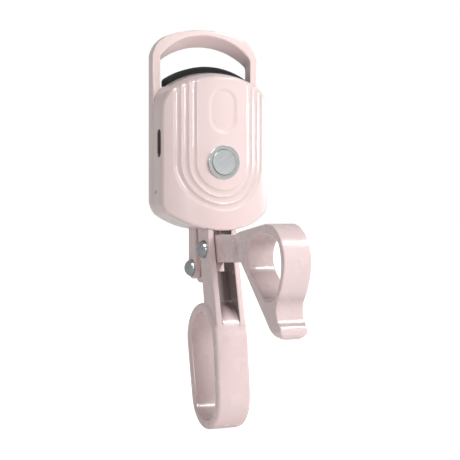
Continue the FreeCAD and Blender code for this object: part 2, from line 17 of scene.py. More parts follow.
import bmesh
import bpy
import numpy as np
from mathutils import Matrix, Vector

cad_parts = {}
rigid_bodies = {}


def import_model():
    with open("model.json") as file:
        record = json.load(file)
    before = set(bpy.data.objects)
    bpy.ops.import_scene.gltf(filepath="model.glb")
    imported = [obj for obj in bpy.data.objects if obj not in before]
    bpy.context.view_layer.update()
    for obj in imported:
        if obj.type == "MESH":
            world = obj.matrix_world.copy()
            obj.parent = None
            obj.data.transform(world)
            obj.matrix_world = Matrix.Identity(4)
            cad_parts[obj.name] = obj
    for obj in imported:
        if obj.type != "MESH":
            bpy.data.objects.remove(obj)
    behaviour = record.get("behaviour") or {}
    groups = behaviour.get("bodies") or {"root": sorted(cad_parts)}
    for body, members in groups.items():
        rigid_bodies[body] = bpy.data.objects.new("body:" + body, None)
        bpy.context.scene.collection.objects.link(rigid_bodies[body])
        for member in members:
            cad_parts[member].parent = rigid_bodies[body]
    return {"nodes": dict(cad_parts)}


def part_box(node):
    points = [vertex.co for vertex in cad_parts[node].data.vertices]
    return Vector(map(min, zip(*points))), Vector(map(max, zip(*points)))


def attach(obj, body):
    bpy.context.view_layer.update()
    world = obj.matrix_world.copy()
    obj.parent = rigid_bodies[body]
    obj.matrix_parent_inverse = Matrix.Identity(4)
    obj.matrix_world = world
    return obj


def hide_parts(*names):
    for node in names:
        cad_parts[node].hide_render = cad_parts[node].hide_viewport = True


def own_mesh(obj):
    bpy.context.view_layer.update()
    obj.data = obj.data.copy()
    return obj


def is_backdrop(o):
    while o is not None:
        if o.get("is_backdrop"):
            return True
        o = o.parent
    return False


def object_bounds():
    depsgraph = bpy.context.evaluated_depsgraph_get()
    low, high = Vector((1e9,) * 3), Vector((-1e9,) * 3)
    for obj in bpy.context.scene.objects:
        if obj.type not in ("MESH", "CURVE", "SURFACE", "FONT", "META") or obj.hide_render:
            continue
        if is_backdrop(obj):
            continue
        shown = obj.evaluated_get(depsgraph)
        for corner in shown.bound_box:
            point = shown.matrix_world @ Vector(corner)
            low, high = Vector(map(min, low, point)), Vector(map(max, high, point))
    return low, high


LOG = logging.getLogger("curler")
MM = 0.001
FAR = 200.0
SMALL = 1e-9
BOX_SPARE = 0.3
SAME_PLACE = 1e-7
SHADE = "shade"

Array = np.ndarray
Span = tuple[float, float]
Pair = tuple[float, float]
Colour = tuple[float, float, float]

# Places and sizes that several pieces share, in millimetres. The button's centre is (X, Z), and the
# rivets' are (Y, Z). The tongue is the carrier's foot, held in the push rod's socket by two screws.
BUTTON_AT: Pair = (0.0, 63.9)
PIVOT: Pair = (0.0, 36.7)
LINK: Pair = (9.2, 30.4)
SHANK = 1.2
ROD_TOP = 61.0
ROD_SCREWS: Pair = (55.2, 58.8)
SCREW_BORE = 0.8
TONGUE: tuple[Span, Span, Span] = ((-4.0, 4.0), (9.4, 11.2), (53.0, 62.0))
BEHIND = 20.0


# ---------------------------------------------------------------- solids

def round_max(a: Array, b: Array, radius: float | Array) -> Array:
    """Inside both fields, with their common edge rounded.

    Args:
        a: first field's values.
        b: second field's values.
        radius: edge radius in millimetres, for all points or for each.

    Returns:
        The values of the rounded intersection.
    """
    if np.isscalar(radius) and radius <= 0.0:
        return np.maximum(a, b)
    corner = np.hypot(np.maximum(a + radius, 0.0), np.maximum(b + radius, 0.0))
    return np.minimum(np.maximum(a, b), -radius) + corner


class Solid:
    """A signed distance field over points in millimetres, negative inside."""

    def __init__(self, rule: Callable[[Array], Array]) -> None:
        """Keeps the rule that gives the field's values."""
        self.rule = rule

    def __call__(self, points: Array) -> Array:
        """Gives the field's values at the points, one row each."""
        return self.rule(points)

    def join(self, other: Solid, fillet: float = 0.0) -> Solid:
        """Adds another solid, with a fillet where they meet."""
        return Solid(lambda p: -round_max(-self(p), -other(p), fillet))

    def cut(self, other: Solid, edge: float = 0.0) -> Solid:
        """Takes another solid away and rounds the edge that is left."""
        return Solid(lambda p: round_max(self(p), -other(p), edge))

    def meet(self, other: Solid, edge: float = 0.0) -> Solid:
        """Keeps what both solids share, with a rounded edge."""
        return Solid(lambda p: round_max(self(p), other(p), edge))


def block(x: Span, y: Span, z: Span, edge: float = 0.0) -> Solid:
    """Box between two limits on each axis.

    Args:
        x: lowest and highest X.
        y: lowest and highest Y.
        z: lowest and highest Z.
        edge: radius of its edges.

    Returns:
        The box as a solid.
    """
    low = np.array([x[0], y[0], z[0]])
    high = np.array([x[1], y[1], z[1]])
    centre = (low + high) / 2
    half = (high - low) / 2 - edge

    def rule(p: Array) -> Array:
        """Distance to the box."""
        away = np.abs(p - centre) - half
        outside = np.linalg.norm(np.maximum(away, 0.0), axis=1)
        return outside + np.minimum(away.max(axis=1), 0.0) - edge

    return Solid(rule)


def even(half: float) -> Span:
    """The same reach to either side of the middle."""
    return -half, half


def rod(axis: int, at: Pair, radius: float, span: Span, edge: float = 0.0) -> Solid:
    """Cylinder along an axis.

    Args:
        axis: 0, 1 or 2 for X, Y or Z.
        at: its centre on the two other axes, in order.
        radius: its radius.
        span: where it starts and ends.
        edge: radius of its rims.

    Returns:
        The cylinder as a solid.
    """
    others = [index for index in range(3) if index != axis]

    def rule(p: Array) -> Array:
        """Distance to the cylinder."""
        across = np.hypot(p[:, others[0]] - at[0], p[:, others[1]] - at[1]) - radius
        along = np.maximum(span[0] - p[:, axis], p[:, axis] - span[1])
        return round_max(across, along, edge)

    return Solid(rule)


def slot_rod(axis: int, start: Pair, end: Pair, radius: float, span: Span, edge: float = 0.0) -> Solid:
    """Bar with two round ends, seen along an axis as a slot.

    Args:
        axis: 0, 1 or 2 for X, Y or Z.
        start: centre of one end on the two other axes.
        end: centre of the other end.
        radius: radius of the ends.
        span: where it starts and ends along the axis.
        edge: radius of its rims.

    Returns:
        The bar as a solid.
    """
    others = [index for index in range(3) if index != axis]
    first = np.array(start)
    run = np.array(end) - first

    def rule(p: Array) -> Array:
        """Distance to the bar."""
        here = p[:, others] - first
        share = np.clip(here @ run / max(run @ run, SMALL), 0.0, 1.0)
        across = np.linalg.norm(here - share[:, None] * run, axis=1) - radius
        along = np.maximum(span[0] - p[:, axis], p[:, axis] - span[1])
        return round_max(across, along, edge)

    return Solid(rule)


class Outline:
    """Closed line in a plane, made of straight runs and arcs."""

    ARC_STEP = math.radians(2.0)
    NOTHING = 1e-12

    def __init__(self, start: Pair, steps: Sequence[Sequence[Pair]]) -> None:
        """Samples the line.

        Args:
            start: its first point.
            steps: one point for a straight run, or a middle point and an end for an arc.
        """
        line = [start]
        for step in steps:
            if len(step) == 1:
                line.append(step[0])
            else:
                line.extend(self.arc(line[-1], step[0], step[1]))
        self.points = np.array(line)

    def arc(self, start: Pair, middle: Pair, end: Pair) -> list[Pair]:
        """Points of the arc through three points, without the first one.

        Args:
            start: where it starts.
            middle: a point on it.
            end: where it ends.

        Returns:
            Its points, closely spaced.
        """
        (ax, ay), (bx, by), (cx, cy) = start, middle, end
        twice = 2 * (ax * (by - cy) + bx * (cy - ay) + cx * (ay - by))
        squares = [ax * ax + ay * ay, bx * bx + by * by, cx * cx + cy * cy]
        ux = (squares[0] * (by - cy) + squares[1] * (cy - ay) + squares[2] * (ay - by)) / twice
        uy = (squares[0] * (cx - bx) + squares[1] * (ax - cx) + squares[2] * (bx - ax)) / twice
        radius = math.hypot(ax - ux, ay - uy)
        first, mid, last = (math.atan2(y - uy, x - ux) for x, y in (start, middle, end))
        turn = (last - first) % math.tau
        if (mid - first) % math.tau > turn:
            turn -= math.tau
        count = max(2, math.ceil(abs(turn) / self.ARC_STEP))
        angles = [first + turn * index / count for index in range(1, count + 1)]
        return [(ux + radius * math.cos(angle), uy + radius * math.sin(angle)) for angle in angles]

    def distance(self, a: Array, b: Array) -> Array:
        """Signed distance to the line, negative inside.

        Args:
            a: first coordinate of each point.
            b: second coordinate of each point.

        Returns:
            The distances.
        """
        nearest = np.full(len(a), FAR * FAR)
        inside = np.zeros(len(a), bool)
        starts = self.points
        for (sa, sb), (ea, eb) in zip(starts, np.roll(starts, -1, axis=0)):
            run_a, run_b = ea - sa, eb - sb
            length = run_a * run_a + run_b * run_b
            if length < self.NOTHING:
                continue
            off_a, off_b = a - sa, b - sb
            share = np.clip((off_a * run_a + off_b * run_b) / length, 0.0, 1.0)
            gap_a, gap_b = off_a - share * run_a, off_b - share * run_b
            nearest = np.minimum(nearest, gap_a * gap_a + gap_b * gap_b)
            crosses = (sb > b) != (eb > b)
            if abs(run_b) > self.NOTHING:
                inside ^= crosses & (off_a < off_b * run_a / run_b)
        return np.where(inside, -1.0, 1.0) * np.sqrt(nearest)


def side_plate(shape: Callable[[Array, Array], Array], half: Callable[[Array], Array], edge: float) -> Solid:
    """Plate seen from the side, with rounded edges.

    Args:
        shape: signed distance over Y and Z.
        half: half its width across X at each point.
        edge: radius of its edges.

    Returns:
        The plate as a solid.
    """
    return Solid(lambda p: round_max(shape(p[:, 1], p[:, 2]), np.abs(p[:, 0]) - half(p), edge))


def ease(value: Array, low: float, high: float) -> Array:
    """Smooth step from 0 at low to 1 at high."""
    share = np.clip((value - low) / (high - low), 0.0, 1.0)
    return share * share * (3 - 2 * share)


# ---------------------------------------------------------------- meshes

@dataclass(frozen=True)
class Mesher:
    """Turns a solid into a closed mesh of quads."""

    step: float = 0.3
    coarse: int = 4
    pulls: int = 4
    margin: float = 1.5
    probe: float = 0.02
    least_slope: float = 0.25
    feelers: tuple[float, ...] = (2.0, 4.0, 8.0, 12.0)

    def axes(self, low: Array, high: Array) -> list[Array]:
        """Grid coordinates that hold the box with two cells to spare."""
        return [np.arange(a - 2 * self.step, b + 3 * self.step, self.step) for a, b in zip(low, high)]

    def sample(self, solid: Solid, axes: list[Array]) -> Array:
        """Field values on the grid, worked out only near the surface.

        Args:
            solid: the field.
            axes: grid coordinates on X, Y and Z.

        Returns:
            A three-dimensional array of values.
        """
        shape = tuple(len(axis) for axis in axes)
        blocks = [axis[:: self.coarse] + (self.coarse - 1) / 2 * self.step for axis in axes]
        centres = np.stack(np.meshgrid(*blocks, indexing="ij"), -1).reshape(-1, 3)
        rough = solid(centres).reshape([len(part) for part in blocks])
        reach = self.coarse * self.step * self.margin
        for axis in range(3):
            rough = np.repeat(rough, self.coarse, axis=axis)
        values = rough[: shape[0], : shape[1], : shape[2]].copy()
        near = np.abs(values) < reach
        index = np.nonzero(near)
        points = np.stack([axes[axis][index[axis]] for axis in range(3)], -1)
        values[near] = solid(points)
        return values

    def corners(self, values: Array, cells: Array, axes: list[Array]) -> Array:
        """Mean crossing point of the surface in each cell.

        Args:
            values: field values on the grid.
            cells: index of each cell on X, Y and Z.
            axes: grid coordinates.

        Returns:
            One point for each cell.
        """
        total = np.zeros((len(cells), 3))
        count = np.zeros(len(cells))
        for axis in range(3):
            others = [index for index in range(3) if index != axis]
            for bits in range(4):
                near = cells.copy()
                near[:, others[0]] += bits & 1
                near[:, others[1]] += bits >> 1
                far = near.copy()
                far[:, axis] += 1
                first, last = values[tuple(near.T)], values[tuple(far.T)]
                hit = (first < 0) != (last < 0)
                share = np.where(hit, first / np.where(hit, first - last, 1.0), 0.0)
                place = near.astype(float)
                place[:, axis] += share
                total += place * hit[:, None]
                count += hit
        origin = np.array([axis[0] for axis in axes])
        return total / count[:, None] * self.step + origin

    def quads(self, inside: Array, number: Array) -> Array:
        """Faces round each grid edge that crosses the surface.

        Args:
            inside: which grid points are inside.
            number: each cell's corner number.

        Returns:
            Four corner numbers for each face, facing outwards.
        """
        faces = []
        for axis in range(3):
            turned = np.moveaxis(inside, axis, 0)
            cells = np.moveaxis(number, axis, 0)
            here, there = turned[:-1, 1:-1, 1:-1], turned[1:, 1:-1, 1:-1]
            i, j, k = np.nonzero(here != there)
            ring = np.stack([cells[i, j, k], cells[i, j + 1, k],
                             cells[i, j + 1, k + 1], cells[i, j, k + 1]], -1)
            flip = here[i, j, k] == (axis == 1)
            faces.append(np.where(flip[:, None], ring[:, ::-1], ring))
        return np.concatenate(faces)

    @staticmethod
    def slope(solid: Solid, points: Array, reach: float) -> Array:
        """Slope of the field at each point, measured over a short reach."""
        legs = np.array([(1, -1, -1), (-1, -1, 1), (-1, 1, -1), (1, 1, 1)], float)
        return sum(leg * solid(points + leg * reach)[:, None] for leg in legs) / (4 * reach)

    def pull(self, solid: Solid, points: Array) -> Array:
        """Moves points onto the surface along the field's slope.

        Args:
            solid: the field.
            points: points close to its surface.

        Returns:
            The moved points.
        """
        for _ in range(self.pulls):
            slope = self.slope(solid, points, self.probe)
            size = np.maximum((slope * slope).sum(axis=1), self.least_slope)
            move = slope * (solid(points) / size)[:, None]
            length = np.linalg.norm(move, axis=1)[:, None]
            points = points - move * np.minimum(1.0, 0.5 * self.step / np.maximum(length, SMALL))
        return points

    def shelter(self, solid: Solid, points: Array, out: Array) -> Array:
        """How deep in a hollow each point lies, which sets how much painted shade it gets.

        Args:
            solid: the field.
            points: points on its surface.
            out: the surface's direction at each point.

        Returns:
            Values from 0 in the open to 1.
        """
        painted_shade = [1.0 - np.clip(solid(points + out * reach) / reach, 0.0, 1.0) for reach in self.feelers]
        return sum(painted_shade) / len(painted_shade)

    def build(self, name: str, solid: Solid, low: Sequence[float], high: Sequence[float]) -> bpy.types.Object:
        """Makes an object of a solid.

        Args:
            name: the object's name.
            solid: its field.
            low: lowest corner of a box that holds it, in millimetres.
            high: highest corner of that box.

        Returns:
            The object, at the origin, in metres.
        """
        axes = self.axes(np.array(low), np.array(high))
        values = self.sample(solid, axes)
        inside = values < 0
        count = sum(inside[i: i - 1 or None, j: j - 1 or None, k: k - 1 or None].astype(np.int8)
                    for i in (0, 1) for j in (0, 1) for k in (0, 1))
        cells = np.argwhere((count > 0) & (count < 8))
        number = np.full(count.shape, -1)
        number[tuple(cells.T)] = np.arange(len(cells))
        faces = self.quads(inside, number)
        points = self.pull(solid, self.corners(values, cells, axes))
        made = mesh_object(name, points, faces)
        slope = self.slope(solid, points, self.step / 6)
        slope /= np.maximum(np.linalg.norm(slope, axis=1), SMALL)[:, None]
        made.data.normals_split_custom_set_from_vertices(slope.tolist())
        # Painted shade: the hollow depth is kept as the "shade" attribute, which darkens the moulded colour
        # in crevices and channels.
        shade = made.data.attributes.new(SHADE, "FLOAT", "POINT")
        shade.data.foreach_set("value", self.shelter(solid, points, slope))
        return made

    def fit(self, name: str, node: str, solid: Solid) -> bpy.types.Object:
        """Makes an object of a solid that stands for a node and lies in that node's box.

        Args:
            name: the object's name.
            node: the node.
            solid: the field.

        Returns:
            The object.
        """
        low, high = (np.array(corner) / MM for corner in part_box(node))
        return self.build(name, solid, low - BOX_SPARE, high + BOX_SPARE)


def mesh_object(name: str, points: Array, faces: Sequence[Sequence[int]]) -> bpy.types.Object:
    """Makes a smooth mesh object.

    Args:
        name: its name.
        points: its corners in millimetres.
        faces: corner numbers of each face.

    Returns:
        The object, linked to the scene.
    """
    mesh = bpy.data.meshes.new(name)
    rows = faces.tolist() if isinstance(faces, np.ndarray) else list(faces)
    mesh.from_pydata((np.asarray(points) * MM).tolist(), [], rows)
    mesh.polygons.foreach_set("use_smooth", [True] * len(mesh.polygons))
    mesh.validate()
    made = bpy.data.objects.new(name, mesh)
    bpy.context.scene.collection.objects.link(made)
    return made


@dataclass(frozen=True)
class Lathe:
    """Turns a profile of (radius, height) points about an axis into a closed mesh."""

    segments: int = 96

    def build(self, name: str, profile: Sequence[Pair], place: Callable[[Array], Array]) -> bpy.types.Object:
        """Makes a turned object.

        Args:
            name: the object's name.
            profile: its (radius, height) points, from one end of the axis or round a closed section.
            place: moves points from the lathe's axes, height along Z, to the frame's.

        Returns:
            The object.
        """
        closed = profile[0][0] > 0.0
        points: list[tuple[float, float, float]] = []
        rings: list[list[int]] = []
        for radius, height in profile:
            count = self.segments if radius > 0.0 else 1
            rings.append(list(range(len(points), len(points) + count)))
            for index in range(count):
                angle = math.tau * index / self.segments
                points.append((radius * math.cos(angle), radius * math.sin(angle), height))
        pairs = list(zip(rings, rings[1:]))
        if closed:
            pairs.append((rings[-1], rings[0]))
        faces = []
        for lower, upper in pairs:
            for index in range(self.segments):
                after = (index + 1) % self.segments
                corners = [lower[index % len(lower)], lower[after % len(lower)],
                           upper[after % len(upper)], upper[index % len(upper)]]
                faces.append(list(dict.fromkeys(corners)))
        made = mesh_object(name, place(np.array(points)), faces)
        face_outwards(made)
        return made


def face_outwards(piece: bpy.types.Object) -> None:
    """Merges doubles and turns every face of a closed mesh outwards."""
    work = bmesh.new()
    work.from_mesh(piece.data)
    bmesh.ops.remove_doubles(work, verts=work.verts, dist=SAME_PLACE)
    bmesh.ops.recalc_face_normals(work, faces=work.faces)
    work.to_mesh(piece.data)
    work.free()


def fillet_profile(points: Sequence[tuple[float, float, float]], steps: int = 5) -> list[Pair]:
    """Rounds the corners of a profile.

    Args:
        points: (radius, height, corner radius) of each corner.
        steps: runs in each rounded corner.

    Returns:
        The rounded profile.
    """
    line: list[Pair] = []
    for index, (a, b, radius) in enumerate(points):
        if radius <= 0.0:
            line.append((a, b))
            continue
        before, after = points[index - 1], points[(index + 1) % len(points)]
        first = np.array([before[0] - a, before[1] - b])
        last = np.array([after[0] - a, after[1] - b])
        first /= np.linalg.norm(first)
        last /= np.linalg.norm(last)
        half = math.acos(float(np.clip(first @ last, -1, 1))) / 2
        back = radius / math.tan(half)
        start, end = np.array([a, b]) + first * back, np.array([a, b]) + last * back
        for step in range(steps + 1):
            share = step / steps
            bend = (1 - share) ** 2 * start + 2 * share * (1 - share) * np.array([a, b]) + share ** 2 * end
            line.append((float(bend[0]), float(bend[1])))
    return line


# ---------------------------------------------------------------- shaders

class Value:
    """A shader number that adds Math nodes when it is used in an expression."""

    def __init__(self, graph: Graph, socket: bpy.types.NodeSocket) -> None:
        """Wraps an output socket of a graph."""
        self.graph = graph
        self.socket = socket

    def combine(self, operation: str, first: Value | float, second: Value | float) -> Value:
        """Adds one Math node.

        Args:
            operation: the node's operation.
            first: its first value.
            second: its second value.

        Returns:
            Its result.
        """
        return self.graph.number("ShaderNodeMath", {"operation": operation}, {0: first, 1: second})

    def __add__(self, other: Value | float) -> Value:
        """Sum."""
        return self.combine("ADD", self, other)

    def __radd__(self, other: float) -> Value:
        """Sum, reflected."""
        return self.combine("ADD", other, self)

    def __sub__(self, other: Value | float) -> Value:
        """Difference."""
        return self.combine("SUBTRACT", self, other)

    def __rsub__(self, other: float) -> Value:
        """Difference, reflected."""
        return self.combine("SUBTRACT", other, self)

    def __mul__(self, other: Value | float) -> Value:
        """Product."""
        return self.combine("MULTIPLY", self, other)

    def __pow__(self, other: Value | float) -> Value:
        """Power."""
        return self.combine("POWER", self, other)


class Graph:
    """The nodes of one material or world."""

    def __init__(self, tree: bpy.types.NodeTree) -> None:
        """Empties a node tree and keeps it."""
        tree.nodes.clear()
        self.tree = tree

    def node(self, kind: str, settings: dict | None = None, inputs: dict | None = None) -> bpy.types.Node:
        """Adds any node.

        Args:
            kind: its type.
            settings: its own settings.
            inputs: values or Values for its sockets, by name or number.

        Returns:
            The node.
        """
        made = self.tree.nodes.new(kind)
        for name, setting in (settings or {}).items():
            setattr(made, name, setting)
        for name, given in (inputs or {}).items():
            socket = made.inputs[name]
            if isinstance(given, Value):
                self.tree.links.new(given.socket, socket)
            elif isinstance(given, tuple) and len(given) == 3 and socket.type == "RGBA":
                socket.default_value = (*given, 1.0)
            else:
                socket.default_value = given
        return made

    def number(self, kind: str, settings: dict | None = None, inputs: dict | None = None,
               output: int | str = 0) -> Value:
        """Adds any node and gives one of its outputs as a Value."""
        return Value(self, self.node(kind, settings, inputs).outputs[output])

    def clamped(self, given: Value) -> Value:
        """Keeps a value between 0 and 1."""
        return self.number("ShaderNodeMath", {"operation": "ADD", "use_clamp": True}, {0: given, 1: 0.0})

    def place(self) -> Value:
        """Object coordinates, in metres."""
        return self.number("ShaderNodeTexCoord", output="Object")

    def mix(self, share: Value | float, first: Value | Colour, second: Value | Colour) -> Value:
        """Mixes two colours."""
        made = self.node("ShaderNodeMix", {"data_type": "RGBA"}, {"Factor": share})
        for socket, given in ((made.inputs[6], first), (made.inputs[7], second)):
            if isinstance(given, Value):
                self.tree.links.new(given.socket, socket)
            else:
                socket.default_value = (*given, 1.0)
        return Value(self, made.outputs[2])

    def noise(self, size: float, detail: float = 2.0, where: Value | None = None,
              stretch: tuple[float, float, float] = (1.0, 1.0, 1.0)) -> Value:
        """Noise with features of a given size.

        Args:
            size: feature size in millimetres.
            detail: octaves.
            where: coordinates, the object's own if left out.
            stretch: how much each axis is squeezed.

        Returns:
            The noise, from 0 to 1.
        """
        spot = self.number("ShaderNodeMapping", None, {"Vector": where or self.place(), "Scale": stretch})
        sizes = {"Vector": spot, "Scale": 1.0 / (size * MM), "Detail": detail, "Roughness": 0.55}
        return self.number("ShaderNodeTexNoise", None, sizes)

    def bump(self, height: Value, depth: float) -> Value:
        """Bump of a height from 0 to 1, where depth is its size in millimetres."""
        sizes = {"Height": height, "Distance": depth * MM, "Strength": 1.0}
        return self.number("ShaderNodeBump", None, sizes, "Normal")


def new_graph(name: str) -> tuple[bpy.types.Material, Graph]:
    """Makes an empty material and its graph."""
    material = bpy.data.materials.new(name)
    material.use_nodes = True
    return material, Graph(material.node_tree)


@dataclass(frozen=True)
class Moulded:
    """Glossy injection-moulded plastic with a faint mould grain and a clear skin, its colour darkened in
    hollows as painted shade.
    """

    name: str
    colour: Colour
    deep: Colour
    roughness: float = 0.24
    coat: float = 0.7
    grain: float = 0.004
    # Painted shade: how strongly the colour is darkened in hollows, and the dark grey-pink it is darkened
    # towards.
    painted_shade_strength: float = 1.7
    painted_shade: Colour = (0.26, 0.20, 0.20)
    cloud_size: float = 14.0
    fleck_size: float = 0.5
    touch_size: float = 6.0
    ripple_size: float = 1.6

    def material(self) -> bpy.types.Material:
        """Builds the material."""
        made, graph = new_graph(self.name)
        cloud = graph.noise(self.cloud_size, 3.0)
        fleck = graph.noise(self.fleck_size, 2.0)
        colour = graph.mix(cloud * 0.3 + fleck * 0.15, self.colour, self.deep)
        # Painted shade: the colour is pulled towards a dark grey-pink where the "shade" attribute marks a
        # hollow.
        hollow = graph.number("ShaderNodeAttribute", {"attribute_name": SHADE}, output="Fac")
        colour = graph.mix(graph.clamped(hollow * self.painted_shade_strength), colour, self.painted_shade)
        handled = graph.noise(self.touch_size, 4.0)
        ripple = graph.noise(self.ripple_size, 1.0)
        shader = graph.node("ShaderNodeBsdfPrincipled", None, {
            "Base Color": colour,
            "Roughness": self.roughness + (handled - 0.5) * 0.06,
            "Coat Weight": self.coat,
            "Coat Roughness": 0.04,
            "IOR": 1.5,
            "Normal": graph.bump(ripple * 0.8 + fleck * 0.2, self.grain),
        })
        finish(graph, shader)
        return made


class Brush(Enum):
    """How a metal surface was worked."""

    TUMBLED = "tumbled"
    STRAIGHT = "straight"
    TURNED = "turned"


@dataclass(frozen=True)
class Metal:
    """Bare metal with the marks of how it was made."""

    name: str
    colour: Colour
    roughness: float = 0.28
    brush: Brush = Brush.TUMBLED
    centre: Pair = (0.0, 0.0)
    depth: float = 0.006
    slant: float = 35.0
    dark: float = 0.72

    def marks(self, graph: Graph) -> Value:
        """Height of the tool marks, from 0 to 1."""
        if self.brush is Brush.STRAIGHT:
            slanted = graph.number("ShaderNodeMapping", None, {
                "Vector": graph.place(), "Rotation": (0.0, math.radians(self.slant), 0.0)})
            return graph.noise(0.5, 3.0, slanted, (0.08, 1.0, 1.0))
        if self.brush is Brush.TURNED:
            parts = graph.node("ShaderNodeSeparateXYZ", None, {"Vector": graph.place()})
            across = Value(graph, parts.outputs["X"]) - self.centre[0] * MM
            up = Value(graph, parts.outputs["Z"]) - self.centre[1] * MM
            radius = (across * across + up * up) ** 0.5
            spot = graph.number("ShaderNodeCombineXYZ", None, {"X": radius})
            return graph.noise(0.1, 2.0, spot)
        return graph.noise(0.35, 4.0)

    def material(self) -> bpy.types.Material:
        """Builds the material."""
        made, graph = new_graph(self.name)
        marks = self.marks(graph)
        haze = graph.noise(1.8, 3.0)
        dark = tuple(self.dark * part for part in self.colour)
        shader = graph.node("ShaderNodeBsdfPrincipled", None, {
            "Base Color": graph.mix(graph.clamped(marks * 1.6 + haze * 0.3 - 0.55), self.colour, dark),
            "Metallic": 1.0,
            "Roughness": self.roughness + (haze - 0.5) * 0.14 + (marks - 0.5) * 0.1,
            "Normal": graph.bump(marks, self.depth),
        })
        finish(graph, shader)
        return made


@dataclass(frozen=True)
class Matte:
    """Dull plastic, rubber or board with a fine grain."""

    name: str
    colour: Colour
    deep: Colour
    roughness: float = 0.6
    grain_size: float = 0.25
    depth: float = 0.02
    shine: float = 0.5

    def material(self) -> bpy.types.Material:
        """Builds the material."""
        made, graph = new_graph(self.name)
        grain = graph.noise(self.grain_size, 3.0)
        cloud = graph.noise(5.0, 3.0)
        shader = graph.node("ShaderNodeBsdfPrincipled", None, {
            "Base Color": graph.mix(cloud * 0.6 + grain * 0.4, self.colour, self.deep),
            "Roughness": self.roughness + (grain - 0.5) * 0.2,
            "Specular IOR Level": self.shine,
            "Normal": graph.bump(grain, self.depth),
        })
        finish(graph, shader)
        return made


def finish(graph: Graph, shader: bpy.types.Node) -> None:
    """Links a shader to a new material output."""
    graph.node("ShaderNodeOutputMaterial", None, {"Surface": Value(graph, shader.outputs[0])})


PINK_SHELL = Moulded("pink_shell", (0.93, 0.745, 0.73), (0.91, 0.72, 0.705), grain=0.0015)
PINK_HANDLE = Moulded("pink_handle", (0.88, 0.70, 0.69), (0.86, 0.675, 0.665), roughness=0.27, grain=0.002)
SILICONE = Matte("pad_silicone", (0.010, 0.010, 0.011), (0.016, 0.016, 0.018), 0.55, 0.18, 0.03, 0.2)
CARRIER = Matte("carrier_plastic", (0.03, 0.03, 0.033), (0.045, 0.045, 0.05), 0.55)
BEZEL = Metal("bezel_metal", (0.86, 0.88, 0.88), 0.24, Brush.TURNED, BUTTON_AT, 0.004)
BUTTON = Metal("button_metal", (0.84, 0.87, 0.87), 0.34, Brush.STRAIGHT, depth=0.004)
RIVET = Metal("rivet_steel", (0.42, 0.44, 0.46), 0.24, depth=0.012)
SCREW = Metal("screw_steel", (0.56, 0.57, 0.59), 0.3)
SPRING = Metal("spring_steel", (0.5, 0.5, 0.52), 0.3)

CAD_FINISHES = {
    "inner_chassis": Matte("chassis_plastic", (0.72, 0.68, 0.64), (0.66, 0.62, 0.58)),
    "circuit_board": Matte("board_green", (0.01, 0.09, 0.03), (0.02, 0.13, 0.045), 0.4, 0.8, 0.03),
    "battery_cell": Metal("cell_foil", (0.72, 0.73, 0.75), 0.35, depth=0.03),
    "usb_c_socket": Metal("socket_steel", (0.12, 0.12, 0.13), 0.4, Brush.STRAIGHT),
    "charge_lamp": Moulded("lamp_plastic", (0.62, 0.50, 0.49), (0.55, 0.43, 0.42), 0.2),
    "tact_switch": Matte("switch_black", (0.02, 0.02, 0.022), (0.035, 0.035, 0.04), 0.45),
    "pivot_washers": Matte("washer_plastic", (0.8, 0.8, 0.77), (0.72, 0.72, 0.7), 0.4),
    "heater_plate": Metal("heater_metal", (0.7, 0.71, 0.73), 0.4, Brush.STRAIGHT),
    "temperature_sensor": Matte("sensor_black", (0.02, 0.02, 0.02), (0.04, 0.04, 0.04), 0.3),
    "lever_bush": Metal("bush_brass", (0.75, 0.52, 0.22), 0.25),
    "fork_screws": SCREW,
    "rod_screws": SCREW,
}


# ---------------------------------------------------------------- geometry nodes

class PieceTree:
    """A Geometry Nodes tree, made from tables of its inputs, nodes and links."""

    def __init__(self, name: str, inputs: dict[str, str], nodes: dict[str, str],
                 links: Sequence[tuple[str, str, str, str]]) -> None:
        """Builds the tree.

        Args:
            name: the tree's name.
            inputs: the kind of each input, the piece's own mesh first.
            nodes: the kind of each node, besides "given" and "result".
            links: each link as node, output, node, input.
        """
        self.tree = bpy.data.node_groups.new(name, "GeometryNodeTree")
        face = self.tree.interface
        self.inputs = {
            label: face.new_socket(label, in_out="INPUT", socket_type="NodeSocket" + kind).identifier
            for label, kind in inputs.items()}
        face.new_socket("Geometry", in_out="OUTPUT", socket_type="NodeSocketGeometry")
        kinds = {label: "GeometryNode" + kind for label, kind in nodes.items()}
        kinds |= {"given": "NodeGroupInput", "result": "NodeGroupOutput"}
        self.nodes = {label: self.tree.nodes.new(kind) for label, kind in kinds.items()}
        for start, output, end, entry in links:
            self.tree.links.new(self.nodes[start].outputs[output], self.nodes[end].inputs[entry])

    def apply(self, piece: bpy.types.Object, **values: object) -> None:
        """Runs the tree on a piece and keeps the result as plain mesh.

        Args:
            piece: the piece.
            values: the tree's inputs by name.
        """
        modifier = piece.modifiers.new(self.tree.name, "NODES")
        modifier.node_group = self.tree
        for name, given in values.items():
            modifier[self.inputs[name]] = given
        settle(piece)


